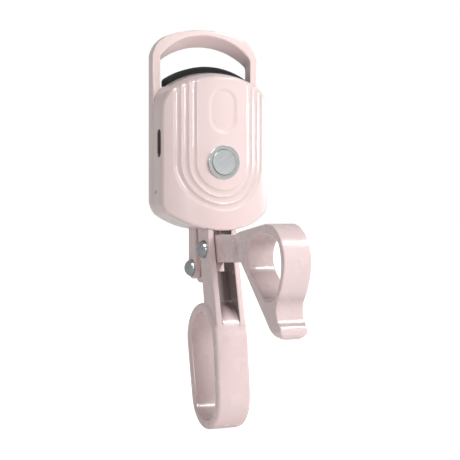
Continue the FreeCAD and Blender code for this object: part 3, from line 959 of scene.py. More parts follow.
class Repeater(PieceTree):
    """Sets copies of a piece at the points of a mesh."""

    TURN = "turn"

    def __init__(self) -> None:
        """Builds the tree once, for every piece that repeats."""
        super().__init__(
            "copies",
            {"Places": "Geometry", "Piece": "Object", "Finish": "Material"},
            {"source": "ObjectInfo", "turn": "InputNamedAttribute", "copies": "InstanceOnPoints",
             "real": "RealizeInstances", "dress": "SetMaterial"},
            [("given", "Piece", "source", "Object"), ("given", "Places", "copies", "Points"),
             ("source", "Geometry", "copies", "Instance"), ("copies", "Instances", "real", "Geometry"),
             ("real", "Geometry", "dress", "Geometry"), ("given", "Finish", "dress", "Material"),
             ("dress", "Geometry", "result", "Geometry")])
        turn = self.nodes["turn"]
        turn.data_type = "FLOAT_VECTOR"
        turn.inputs["Name"].default_value = self.TURN
        self.tree.links.new(turn.outputs["Attribute"], self.nodes["copies"].inputs["Rotation"])

    def build(self, name: str, piece: bpy.types.Object, places: Sequence[Sequence[float]],
              turns: Sequence[Sequence[float]], dressed: bpy.types.Material) -> bpy.types.Object:
        """Sets the copies and gives them as one plain mesh.

        Args:
            name: the new piece's name.
            piece: what is copied, which is removed afterwards.
            places: where each copy goes, in millimetres.
            turns: the turn of each copy about X, Y and Z, in radians.
            dressed: its material.

        Returns:
            The new piece.
        """
        made = mesh_object(name, np.array(places, float), [])
        attribute = made.data.attributes.new(self.TURN, "FLOAT_VECTOR", "POINT")
        attribute.data.foreach_set("vector", np.array(turns, float).ravel())
        self.apply(made, Piece=piece, Finish=dressed)
        bpy.data.objects.remove(piece)
        return made


class RibMaker(PieceTree):
    """Lays a row of ribs along an arc, on top of a moulded piece."""

    ARC_POINTS = 256

    def __init__(self) -> None:
        """Builds the tree."""
        super().__init__(
            "ribs",
            {"Base": "Geometry", "Rib": "Object", "Count": "Int", "Radius": "Float", "Start": "Float",
             "Sweep": "Float", "Centre": "Vector", "Finish": "Material"},
            {"arc": "CurveArc", "stand": "Transform", "points": "ResampleCurve", "source": "ObjectInfo",
             "copies": "InstanceOnPoints", "both": "JoinGeometry", "real": "RealizeInstances",
             "dress": "SetMaterial"},
            [("given", "Radius", "arc", "Radius"), ("given", "Start", "arc", "Start Angle"),
             ("given", "Sweep", "arc", "Sweep Angle"), ("arc", "Curve", "stand", "Geometry"),
             ("given", "Centre", "stand", "Translation"), ("stand", "Geometry", "points", "Curve"),
             ("given", "Count", "points", "Count"), ("given", "Rib", "source", "Object"),
             ("points", "Curve", "copies", "Points"), ("source", "Geometry", "copies", "Instance"),
             ("copies", "Instances", "both", "Geometry"), ("given", "Base", "both", "Geometry"),
             ("both", "Geometry", "real", "Geometry"), ("real", "Geometry", "dress", "Geometry"),
             ("given", "Finish", "dress", "Material"), ("dress", "Geometry", "result", "Geometry")])
        self.nodes["stand"].inputs["Rotation"].default_value = (math.pi / 2, 0.0, 0.0)
        self.nodes["arc"].inputs["Resolution"].default_value = self.ARC_POINTS

    def build(self, base: bpy.types.Object, **values: object) -> None:
        """Adds the ribs to a piece, as part of its own mesh.

        Args:
            base: the piece.
            values: the tree's inputs by name.
        """
        self.apply(base, **values)
        bpy.data.objects.remove(values["Rib"])


def settle(piece: bpy.types.Object) -> None:
    """Turns a piece's modifiers into plain mesh."""
    graph = bpy.context.evaluated_depsgraph_get()
    mesh = bpy.data.meshes.new_from_object(piece.evaluated_get(graph))
    piece.modifiers.clear()
    piece.data = mesh
    mesh.polygons.foreach_set("use_smooth", [True] * len(mesh.polygons))


def hand_over(piece: bpy.types.Object, body: str, slot: str, *nodes: str,
              dressed: bpy.types.Material | None = None) -> None:
    """Dresses a finished piece and puts it on its body.

    Args:
        piece: the piece.
        body: the body it rides on.
        slot: the record's material slot; not used.
        nodes: the nodes that it stands for.
        dressed: its material, if it has none yet.
    """
    if dressed is not None:
        piece.data.materials.clear()
        piece.data.materials.append(dressed)
    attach(piece, body)
    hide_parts(*nodes)
    LOG.info("%s: %d faces on %s", piece.name, len(piece.data.polygons), body)


def on_y(centre: Pair) -> Callable[[Array], Array]:
    """Sets a lathe's axis along Y, through (X, Z)."""
    return lambda p: np.column_stack([p[:, 0] + centre[0], p[:, 2], p[:, 1] + centre[1]])


def on_x(centre: Pair) -> Callable[[Array], Array]:
    """Sets a lathe's axis along X, through (Y, Z)."""
    return lambda p: np.column_stack([p[:, 2], p[:, 0] + centre[0], p[:, 1] + centre[1]])


# ---------------------------------------------------------------- head

@dataclass
class HeadShape:
    """Front outline that the cover and the arch frame share."""

    half: float = 18.4
    crest: float = 93.0
    crest_radius: float = 26.4
    bottom: float = 42.5
    bottom_radius: float = 29.5
    corner: float = 2.6
    front_corner: float = 1.8
    corner_depth: float = 0.56
    shoulder: float = 3.2
    crest_fall: float = 2.2
    bow_front: float = -4.3
    bow_radius: float = 30.3
    frame_front: float = 9.4
    frame_back: float = 13.5
    wall: float = 1.5
    screws: tuple[Pair, ...] = ((-13.9, 79.0), (13.9, 79.0), (-12.2, 50.5), (12.2, 50.5))

    def ahead(self, p: Array) -> Array:
        """How far each point lies in front of the frame, from 0 there to 1 at the bow's front."""
        return np.clip((self.frame_front - p[:, 1]) / (self.frame_front - self.bow_front), 0.0, 1.0)

    def belly(self, p: Array, inset: float) -> Array:
        """Distance to the sides and the rounded bottom, made smaller by inset."""
        side = np.abs(p[:, 0]) - self.half + inset
        centre = self.bottom + self.bottom_radius
        low = np.hypot(p[:, 0], np.minimum(p[:, 2] - centre, 0.0)) - self.bottom_radius + inset
        sharp = np.minimum(self.ahead(p) / self.corner_depth, 1.0)
        return round_max(side, low, self.corner + sharp * (self.front_corner - self.corner) - inset)

    def outline(self, p: Array, inset: float) -> Array:
        """Distance to the cover's whole outline, made smaller by inset, its crest falling to the front."""
        centre = self.crest - self.crest_radius
        high = np.hypot(p[:, 0], np.maximum(p[:, 2] - centre, 0.0)) - self.crest_radius + inset
        high = high + self.crest_fall * self.ahead(p) ** 2
        return round_max(self.belly(p, inset), high, self.shoulder - inset)

    def bow(self, p: Array, inset: float) -> Array:
        """Distance to the bowed front, made smaller by inset."""
        return np.hypot(p[:, 0], p[:, 1] - self.bow_front - self.bow_radius) - self.bow_radius + inset


@dataclass
class Cover:
    """Glossy front cover with U-shaped flutes round the button and a scoop above it."""

    head: HeadShape
    edge: float = 0.75
    top_edge: float = 1.1
    softer: Span = (80.0, 88.0)
    flute_inner: float = 8.6
    flute_pitch: float = 2.23
    flute_count: int = 3
    flute_depth: float = 0.34
    scoop_half: float = 5.1
    scoop: Span = (72.6, 87.4)
    scoop_depth: float = 0.4
    socket: Pair = (4.45, 69.9)
    mouth: Pair = (2.7, 8.5)
    lamp: Pair = (7.0, 54.7)
    lamp_radius: float = 0.47
    side_wall: float = 2.5
    button_bore: float = 4.75
    post: float = 2.0
    post_bore: float = 0.75
    bore_front: float = 4.0
    rebate: tuple[float, float, float] = (15.2, 7.05, 76.0)
    fork_gap: tuple[float, float] = (5.55, -3.4)
    fork_span: Span = (30.0, 46.0)
    mesher: Mesher = field(default_factory=lambda: Mesher(step=0.3))

    def u_radius(self, p: Array) -> Array:
        """Distance from the upright line that starts at the button's centre."""
        return np.hypot(p[:, 0], np.minimum(p[:, 2] - BUTTON_AT[1], 0.0))

    def relief(self, p: Array) -> Array:
        """How deep the front is carved at each point."""
        place = (self.u_radius(p) - self.flute_inner) / self.flute_pitch
        inside = (place > 0.0) & (place < self.flute_count)
        across = 2.0 * (place - np.floor(place)) - 1.0
        flutes = np.where(inside, self.flute_depth * (1.0 - across ** 2), 0.0)
        low, high = self.scoop[0] + self.scoop_half, self.scoop[1] - self.scoop_half
        level = p[:, 2] - np.clip(p[:, 2], low, high)
        reach = np.hypot(p[:, 0], level) / self.scoop_half
        dish = self.scoop_depth * ease(1.0 - reach, 0.0, 0.3)
        return flutes + dish

    def shell(self) -> Solid:
        """The whole cover."""
        head = self.head

        def face(p: Array) -> Array:
            """Distance to the outline and the carved front, with a softer edge along the top."""
            edge = self.edge + (self.top_edge - self.edge) * ease(p[:, 2], *self.softer)
            return round_max(head.outline(p, 0.0), head.bow(p, 0.0) + self.relief(p), edge)

        outer = Solid(face).meet(Solid(lambda p: p[:, 1] - head.frame_front), 0.15)
        cavity = Solid(lambda p: round_max(head.outline(p, head.wall), head.bow(p, head.wall), 0.8))
        made = outer.cut(cavity)
        inner = Solid(lambda p: np.maximum(head.outline(p, 1.0), head.bow(p, 1.0)))
        for place in head.screws:
            post = rod(1, place, self.post, (head.bow_front, head.frame_front), 0.1).meet(inner)
            made = made.join(post, 0.3).cut(rod(1, place, self.post_bore, (self.bore_front, FAR)))
        half, front, foot = self.rebate
        made = made.cut(block(even(half), (front, FAR), (foot, FAR)), 0.2)
        made = made.cut(rod(1, BUTTON_AT, self.button_bore, (-FAR, 0.0)), 0.1)
        reach = (self.mouth[1] - self.mouth[0]) / 2
        low, high = (self.socket[0], self.socket[1] - reach), (self.socket[0], self.socket[1] + reach)
        side = (-FAR, -head.half + self.side_wall)
        made = made.cut(slot_rod(0, low, high, self.mouth[0] / 2, side), 0.2)
        made = made.cut(rod(0, self.lamp, self.lamp_radius, side), 0.1)
        half, front = self.fork_gap
        return made.cut(block(even(half), (front, FAR), self.fork_span), 0.2)

    def build(self) -> None:
        """Makes the cover and puts it on the head."""
        piece = self.mesher.fit("cover_shell", "front_cover", self.shell())
        hand_over(piece, "head", "pink_shell", "front_cover", dressed=PINK_SHELL.material())


@dataclass
class ArchFrame:
    """Back housing with the arch, its slanted underside and the plate behind the pad."""

    head: HeadShape
    top: float = 107.0
    shoulder: Pair = (13.4, 104.5)
    bend: Pair = (16.5, 102.0)
    spring: float = 98.0
    bevel: float = 0.2
    post: float = 2.6
    plate: float = 1.2
    plate_top: float = 91.2
    plate_radius: float = 25.6
    lip: float = 1.4
    root: float = 5.4
    lip_drop: float = 7.5
    root_drop: float = 5.9
    window_foot: float = 68.0
    plate_half: float = 16.5
    plate_foot: float = 64.0
    bevelled: Span = (84.0, 92.0)
    fork_gap: tuple[float, float] = (5.55, 8.0)
    fork_span: Span = (38.0, 48.0)
    screw_bore: float = 0.95
    screw_seat: float = 1.65
    seat_depth: float = 0.7
    mesher: Mesher = field(default_factory=lambda: Mesher(step=0.28))

    def outside(self) -> Callable[[Array], Array]:
        """Distance to the outline: the arch on straight sides, over the rounded bottom."""
        half, foot = self.head.half, 20.0
        (far, high), (mid, low) = self.shoulder, self.bend
        arch = Outline((-half, foot), [
            ((-half, self.spring),), ((-mid, low), (-far, high)), ((0.0, self.top), (far, high)),
            ((mid, low), (half, self.spring)), ((half, foot),)])
        return lambda p: np.maximum(arch.distance(p[:, 0], p[:, 2]), self.head.belly(p, 0.0))

    def window(self, p: Array) -> Array:
        """Distance to the opening under the arch, whose top slopes down to the back."""
        share = (p[:, 1] - self.head.frame_front) / (self.head.frame_back - self.head.frame_front)
        crest = self.top - self.lip - share * (self.root - self.lip)
        drop = self.lip_drop + share * (self.root_drop - self.lip_drop)
        half = self.head.half - self.post
        radius = (half ** 2 + drop ** 2) / (2 * drop)
        level = p[:, 2] - crest + radius
        arc = np.hypot(p[:, 0], np.maximum(level, 0.0)) - radius
        return np.maximum(round_max(np.abs(p[:, 0]) - half, arc, 0.5), self.window_foot - p[:, 2])

    def back_plate(self) -> Solid:
        """Wall behind the pad, with an arched top."""
        centre = self.plate_top - self.plate_radius
        back = self.head.frame_back
        arch = Solid(lambda p: np.hypot(p[:, 0], np.maximum(p[:, 2] - centre, 0.0)) - self.plate_radius)
        wall = block(even(self.plate_half), (back - self.plate, back), (self.plate_foot, FAR))
        return wall.meet(arch, 0.3)

    def solid(self) -> Solid:
        """The whole frame."""
        front, back = self.head.frame_front, self.head.frame_back
        outside = self.outside()

        def face(p: Array) -> Array:
            """Distance to the outline and its front, which is bevelled towards the outside."""
            out = outside(p)
            lean = self.bevel * np.maximum(out + self.post, 0.0) * ease(p[:, 2], *self.bevelled)
            return round_max(out, front + lean - p[:, 1], 0.35)

        made = Solid(face).meet(Solid(lambda p: p[:, 1] - back), 0.5)
        made = made.cut(Solid(self.window), 0.35)
        pocket = Solid(lambda p: np.maximum(self.head.outline(p, self.post), p[:, 1] - back + self.plate))
        made = made.cut(pocket, 0.1).join(self.back_plate(), 0.2)
        gap, start = self.fork_gap
        made = made.cut(block(even(gap), (start, back - self.plate), self.fork_span), 0.1)
        for place in self.head.screws:
            made = made.cut(rod(1, place, self.screw_bore, (0.0, FAR)))
            made = made.cut(rod(1, place, self.screw_seat, (back - self.seat_depth, FAR)), 0.15)
        return made

    def build(self) -> None:
        """Makes the frame and puts it on the head."""
        piece = self.mesher.fit("arch_frame_shell", "arch_frame", self.solid())
        hand_over(piece, "head", "pink_shell", "arch_frame", dressed=PINK_SHELL.material())


@dataclass
class PowerButton:
    """Satin button in a turned metal ring."""

    ring_radius: float = 5.35
    bore: float = 4.08
    cap_radius: float = 3.92
    ring_face: float = -4.75
    cap_face: float = -4.9
    flange_back: float = -3.6
    sleeve: float = 4.73
    sleeve_back: float = -1.9
    cap_back: float = -3.1
    stem: float = 0.9
    stem_back: float = -1.45
    lathe: Lathe = field(default_factory=lambda: Lathe(128))

    def build(self) -> None:
        """Makes the ring and the cap."""
        ring = fillet_profile([
            (self.bore, self.ring_face + 0.03, 0.09), (self.ring_radius, self.ring_face, 0.14),
            (self.ring_radius, self.flange_back, 0.0), (self.sleeve, self.flange_back, 0.0),
            (self.sleeve, self.sleeve_back, 0.0), (self.bore, self.sleeve_back, 0.0)])
        piece = self.lathe.build("button_ring", ring, on_y(BUTTON_AT))
        hand_over(piece, "head", "bezel_metal", "button_bezel", dressed=BEZEL.material())
        cap = fillet_profile([
            (0.0, self.cap_face, 0.0), (self.cap_radius, self.cap_face, 0.16),
            (self.cap_radius, self.cap_back, 0.0), (self.stem, self.cap_back, 0.0),
            (self.stem, self.stem_back, 0.0), (0.0, self.stem_back, 0.0)])
        piece = self.lathe.build("button_cap", cap, on_y(BUTTON_AT))
        hand_over(piece, "button", "button_metal", "power_button", dressed=BUTTON.material())


@dataclass
class ButtonSpring:
    """Coiled spring behind the button."""

    radius: float = 2.35
    wire: float = 0.22
    span: Span = (-3.04, -0.14)
    turns: float = 4.5
    keep: float = 0.83
    steps: int = 160
    sides: int = 10

    def build(self) -> None:
        """Makes the coil and puts it on the head, with a mesh of its own."""
        share = np.linspace(0.0, 1.0, self.steps)[:, None]
        angle = math.tau * self.turns * share
        around = np.linspace(0.0, math.tau, self.sides, endpoint=False)[None, :]
        low, high = self.span[0] + self.wire, self.span[1] - self.wire
        reach = self.radius + self.wire * np.cos(around)
        points = np.stack([
            BUTTON_AT[0] + reach * np.cos(angle),
            low + (high - low) * share + self.wire * np.sin(around),
            BUTTON_AT[1] + reach * np.sin(angle)], -1).reshape(-1, 3)
        faces = [[row * self.sides + col, row * self.sides + (col + 1) % self.sides,
                  (row + 1) * self.sides + (col + 1) % self.sides, (row + 1) * self.sides + col]
                 for row in range(self.steps - 1) for col in range(self.sides)]
        last = (self.steps - 1) * self.sides
        faces += [list(range(self.sides)), list(range(last, last + self.sides))]
        piece = mesh_object("coil_spring", points, faces)
        face_outwards(piece)
        hand_over(piece, "head", "spring_steel", "button_spring", dressed=SPRING.material())
        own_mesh(piece)


@dataclass
class HousingScrews:
    """Four cross-head screws in the back of the frame."""

    head: HeadShape
    radius: float = 1.5
    height: float = 0.65
    recess: float = 0.9
    recess_half: float = 0.22
    recess_depth: float = 0.4
    thread: float = 0.75
    length: float = 8.8
    sunk: float = 0.05
    twist: float = 0.5
    mesher: Mesher = field(default_factory=lambda: Mesher(step=0.12))

    def screw(self) -> bpy.types.Object:
        """One screw, its axis along Y and the top of its head at the origin."""
        made = rod(1, (0.0, 0.0), self.radius, (-self.height, 0.0), 0.25)
        made = made.join(rod(1, (0.0, 0.0), self.thread, (-self.length, -0.3)), 0.1)
        for across, up in ((self.recess, self.recess_half), (self.recess_half, self.recess)):
            made = made.cut(block(even(across), (-self.recess_depth, 0.5), even(up)), 0.04)
        return self.mesher.build("screw", made, (-1.6, -8.9, -1.6), (1.6, 0.1, 1.6))

    def build(self, repeater: Repeater) -> None:
        """Sets the four screws."""
        level = self.head.frame_back - self.sunk
        places = [(x, level, z) for x, z in self.head.screws]
        turns = [(0.0, self.twist * index, 0.0) for index in range(len(places))]
        piece = repeater.build("back_screws", self.screw(), places, turns, SCREW.material())
        hand_over(piece, "head", "screw_steel", "housing_screws")


# ---------------------------------------------------------------- handle, lever and rod

@dataclass
class Handle:
    """Fork with the finger ring below it, one moulding."""

    half: float = 5.0
    slot: float = 3.0
    block_bottom: float = 44.0
    web_top: float = 29.5
    ring_half: float = 5.6
    ring_wall: float = 2.9
    upper: tuple[float, float, float] = (1.0, 8.2, 11.5)
    lower: tuple[float, float, float] = (-1.8, -8.8, 10.6)
    mesher: Mesher = field(default_factory=lambda: Mesher(step=0.28))

    def hull(self, p: Array) -> Array:
        """Distance to the ring's outer line: two circles and their outer tangents."""
        (y1, z1, r1), (y2, z2, r2) = self.upper, self.lower
        length = math.hypot(y1 - y2, z1 - z2)
        along = np.array([y1 - y2, z1 - z2]) / length
        off = p[:, 1:] - np.array([y2, z2])
        rise = off @ along
        side = np.abs(off @ np.array([along[1], -along[0]]))
        lean = (r1 - r2) / length
        slope = math.sqrt(1 - lean ** 2)
        share = rise * slope + side * lean
        straight = side * slope - rise * lean - r2
        first = np.hypot(side, rise) - r2
        last = np.hypot(side, rise - length) - r1
        return np.where(share < 0.0, first, np.where(share > length * slope, last, straight))

    def solid(self) -> Solid:
        """The whole handle."""
        cheek = Outline((5.2, 56.0), [
            ((5.0, 42.6),), ((-0.3, 18.5),), ((-7.5, 8.0),), ((-9.9, 13.6),), ((-4.3, 37.0),),
            ((-3.6, 40.0), (-3.3, 44.0)), ((-1.9, 46.0),), ((-1.9, 56.0),)])
        cheeks = side_plate(cheek.distance, lambda p: self.half, 0.4)
        channel = Outline((-FAR, 5.0), [
            ((-FAR, self.block_bottom),), ((FAR, self.block_bottom),), ((FAR, self.web_top),),
            ((0.8, self.web_top),), ((-1.7, 18.5),), ((-4.8, 5.0),)])
        below = side_plate(channel.distance, lambda p: self.slot, 0.0)
        gap = below.cut(Solid(self.hull), 0.9)
        loop = Solid(lambda p: round_max(self.hull(p), np.abs(p[:, 0]) - self.ring_half, 1.1))
        made = cheeks.cut(gap, 0.3).join(loop, 0.9)
        hole = Solid(lambda p: self.hull(p) + self.ring_wall)
        return made.cut(hole, 0.9).cut(rod(0, PIVOT, SHANK, (-FAR, FAR)))

    def build(self) -> None:
        """Makes the handle and puts it on the head."""
        piece = self.mesher.fit("finger_handle", "fork_handle", self.solid())
        hand_over(piece, "head", "pink_handle", "fork_handle", dressed=PINK_HANDLE.material())


@dataclass
class ThumbLever:
    """Lever with a flat root, a thumb ring and a tail behind the pivot."""

    root_half: float = 2.7
    ring_half: float = 4.4
    widen: Span = (15.5, 26.0)
    boss: float = 3.1
    lobe: tuple[float, float, float] = (8.7, 28.6, 3.0)
    foot: Span = (12.9, 3.0)
    bush: float = 2.0
    slot_radius: float = 1.62
    mesher: Mesher = field(default_factory=lambda: Mesher(step=0.27))

    def half(self, p: Array) -> Array:
        """Half its width, which grows from the root to the thumb ring and has a rounded foot."""
        bottom, radius = self.foot
        rise = np.clip(bottom + radius - p[:, 2], 0.0, radius) * (p[:, 1] < -self.widen[1])
        trim = radius - np.sqrt(np.maximum(radius ** 2 - rise ** 2, 0.0))
        return self.root_half + (self.ring_half - self.root_half) * ease(-p[:, 1], *self.widen) - trim

    def solid(self) -> Solid:
        """The whole lever."""
        body = Outline((1.0, 41.4), [
            ((3.9, 40.2), (5.2, 37.2)), ((8.0, 34.0),), ((5.8, 27.9),), ((1.6, 32.4),), ((-25.2, 33.55),),
            ((-45.9, 13.6),), ((-46.9, 13.0), (-48.2, 13.0)), ((-50.6, 14.4), (-49.5, 17.4)),
            ((-48.0, 20.9), (-48.8, 23.9)), ((-51.9, 29.6), (-53.0, 34.9)), ((-50.2, 41.6), (-41.0, 45.2)),
            ((-15.6, 41.5),)])
        hole = Outline((-33.0, 40.5), [
            ((-41.5, 42.7), (-49.2, 39.9)), ((-50.8, 34.6), (-49.0, 27.2)), ((-45.3, 23.7), (-40.6, 23.9)),
            ((-31.9, 30.8),), ((-29.9, 35.6), (-33.0, 40.5))])
        made = side_plate(body.distance, self.half, 0.45)
        made = made.join(rod(0, LINK, self.boss, even(self.root_half), 0.4), 0.8)
        made = made.join(rod(0, self.lobe[:2], self.lobe[2], even(self.root_half), 0.4), 0.5)
        made = made.cut(Solid(lambda p: hole.distance(p[:, 1], p[:, 2])), 0.5)
        share = LINK[0] / math.hypot(LINK[0], LINK[1] - PIVOT[1])
        inner = (LINK[0] * share, PIVOT[1] + (LINK[1] - PIVOT[1]) * share)
        made = made.cut(slot_rod(0, LINK, inner, self.slot_radius, (-FAR, FAR)), 0.15)
        return made.cut(rod(0, PIVOT, self.bush, (-FAR, FAR)), 0.1)

    def build(self) -> None:
        """Makes the lever and puts it on its body."""
        piece = self.mesher.fit("thumb_ring_lever", "thumb_lever", self.solid())
        hand_over(piece, "lever", "pink_handle", "thumb_lever", dressed=PINK_HANDLE.material())


@dataclass
class PushRod:
    """Flat rod that lifts the pad, with two ears round the lever's tail."""

    half: float = 5.2
    front: float = 6.3
    back: float = 12.0
    ear_bottom: float = 26.9
    ear_gap: float = 3.0
    ear_gap_top: float = 42.0
    screw_seat: float = 1.4
    seat_depth: float = 0.8
    mesher: Mesher = field(default_factory=lambda: Mesher(step=0.28))

    def solid(self) -> Solid:
        """The whole rod."""
        radius = (self.back - self.front) / 2
        middle = self.front + radius
        low, high = (middle, self.ear_bottom + radius), (middle, ROD_TOP + radius)
        made = slot_rod(0, low, high, radius, even(self.half), 0.55)
        made = made.meet(Solid(lambda p: p[:, 2] - ROD_TOP), 0.3)
        made = made.cut(block(even(self.ear_gap), (0.0, BEHIND), (20.0, self.ear_gap_top)), 0.4)
        made = made.cut(block(*TONGUE)).cut(rod(0, LINK, SHANK, (-FAR, FAR)))
        for z in ROD_SCREWS:
            made = made.cut(rod(1, (0.0, z), SCREW_BORE, (0.0, BEHIND)))
            made = made.cut(rod(1, (0.0, z), self.screw_seat, (0.0, self.front + self.seat_depth)))
        return made

    def build(self) -> None:
        """Makes the rod and puts it on the slider."""
        piece = self.mesher.fit("lift_rod", "push_rod", self.solid())
        hand_over(piece, "slider", "pink_handle", "push_rod", dressed=PINK_HANDLE.material())


@dataclass
class LashPad:
    """Ribbed silicone pad on its heat-proof carrier."""

    crest: float = 95.0
    radius: float = 25.6
    half: float = 14.5
    front: float = 7.4
    back: float = 12.4
    height: float = 2.6
    rib_radius: float = 0.24
    rib_count: int = 58
    rim: float = 2.2
    sensor_nest: tuple[Span, Span, Span] = ((-1.3, 1.3), (8.0, 9.6), (86.0, 90.4))
    mesher: Mesher = field(default_factory=lambda: Mesher(step=0.26))

    def band(self, top: float, bottom: float, half: float, y: Span, edge: float) -> Solid:
        """Arched band between two crest heights, centred under the arch."""
        centre = self.crest - self.radius
        middle, thick = (top + bottom) / 2 - centre, (top - bottom) / 2

        def rule(p: Array) -> Array:
            """Distance to the band."""
            out = np.abs(np.hypot(p[:, 0], p[:, 2] - centre) - middle) - thick
            ends = np.maximum(np.abs(p[:, 0]) - half, centre - p[:, 2])
            sides = np.maximum(y[0] - p[:, 1], p[:, 1] - y[1])
            return round_max(round_max(out, sides, edge), ends, edge)

        return Solid(rule)

    def carrier(self) -> Solid:
        """Arched rim on a web that runs down to the rod."""
        seat = self.crest - self.height
        rim = self.band(seat, seat - self.rim, self.half - 0.2, (self.front + 0.4, self.back - 0.5), 0.25)
        lip = self.band(seat + 0.35, seat - 0.2, self.half - 0.85, (8.45, 11.35), 0.1)
        shape = Outline((-9.0, 89.0), [
            ((9.0, 89.0),), ((5.0, 66.0),), ((5.0, 61.0),), ((-5.0, 61.0),), ((-5.0, 66.0),)])
        web = Solid(lambda p: round_max(shape.distance(p[:, 0], p[:, 2]), np.abs(p[:, 1] - 10.3) - 1.3, 0.2))
        made = rim.join(lip).join(web, 0.5).join(block(*TONGUE, 0.1), 0.2)
        made = made.cut(block(*self.sensor_nest))
        for z in ROD_SCREWS:
            made = made.cut(rod(1, (0.0, z), SCREW_BORE, (0.0, BEHIND)))
        return made

    def build(self, ribs: RibMaker) -> None:
        """Makes the pad with its ribs, and the carrier."""
        seat = self.crest - self.height
        pad = self.band(self.crest - 0.08, seat, self.half, (self.front, self.back), 0.5)
        pad = pad.cut(self.band(seat + 0.9, seat - 1.0, self.half - 0.8, (8.4, 11.4), 0.0))
        piece = self.mesher.fit("lash_pad", "silicone_pad", pad)
        reach = (self.back - self.front) / 2 - 0.25
        rib = Lathe(10).build("rib", fillet_profile([
            (0.0, -reach, 0.0), (self.rib_radius, -reach, 0.15), (self.rib_radius, reach, 0.15),
            (0.0, reach, 0.0)], 2), on_y((0.0, 0.0)))
        spread = math.asin((self.half - 0.5) / self.radius)
        middle = (0.0, (self.front + self.back) / 2 * MM, (self.crest - self.radius) * MM)
        ribs.build(piece, Rib=rib, Count=self.rib_count, Radius=(self.radius - self.rib_radius) * MM,
                   Start=math.pi / 2 - spread, Sweep=2 * spread, Centre=middle, Finish=SILICONE.material())
        hand_over(piece, "slider", "pad_silicone", "silicone_pad")
        piece = self.mesher.fit("carrier_arch", "pad_carrier", self.carrier())
        hand_over(piece, "slider", "carrier_plastic", "pad_carrier", dressed=CARRIER.material())


@dataclass
class Rivets:
    """Domed steel rivets at the main pivot and at the link."""

    radius: float = 2.85
    height: float = 2.3
    steps: int = 16
    rim: float = 0.06
    bite: float = 0.02
    grips: Pair = (5.0, 5.2)

    def half_rivet(self, grip: float) -> bpy.types.Object:
        """One domed head with half the shank, its cut end at the origin."""
        ball = (self.radius ** 2 + self.height ** 2) / (2 * self.height)
        spread = math.asin(self.radius / ball)
        turns = [spread * step / self.steps for step in range(self.steps + 1)]
        dome = [(ball * math.sin(turn), grip + self.height - ball * (1 - math.cos(turn))) for turn in turns]
        foot = [(self.radius - self.rim, grip - self.bite), (SHANK, grip - self.bite),
                (SHANK, 0.0), (0.0, 0.0)]
        return Lathe(72).build("half_rivet", dome + foot, on_x((0.0, 0.0)))

    def build(self, repeater: Repeater) -> None:
        """Sets a rivet on each pivot."""
        rows = (("pivot_rivet", PIVOT, self.grips[0], "head", "main_pivot_rivet"),
                ("link_pin", LINK, self.grips[1], "slider", "link_rivet"))
        for name, (y, z), grip, body, node in rows:
            places = [(0.0, y, z)] * 2
            turns = [(0.0, 0.0, 0.0), (0.0, 0.0, math.pi)]
            piece = repeater.build(name, self.half_rivet(grip), places, turns, RIVET.material())
            hand_over(piece, body, "rivet_steel", node)


# ---------------------------------------------------------------- studio

@dataclass(frozen=True)
class SoftBox:
    """One rectangular studio light, aimed at the object's middle."""

    name: str
    azimuth: float
    height: float
    distance: float
    size: Pair
    power: float
    glossy: bool = True
    diffuse: bool = True

    def build(self, middle: Array) -> None:
        """Makes the light.

        Args:
            middle: the point that it faces, in metres.
        """
        data = bpy.data.lights.new(self.name, "AREA")
        data.shape = "RECTANGLE"
        data.size, data.size_y = self.size
        data.energy = self.power
        made = bpy.data.objects.new(self.name, data)
        bpy.context.scene.collection.objects.link(made)
        made.visible_glossy = self.glossy
        made.visible_diffuse = self.diffuse
        angle = math.radians(self.azimuth)
        away = np.array([math.sin(angle), -math.cos(angle), 0.0]) * self.distance
        made.location = (middle[0] + away[0], middle[1] + away[1], middle[2] + self.height)
        facing = made.location.copy()
        facing.x, facing.y, facing.z = (middle[i] - made.location[i] for i in range(3))
        made.rotation_euler = facing.to_track_quat("-Z", "Y").to_euler()


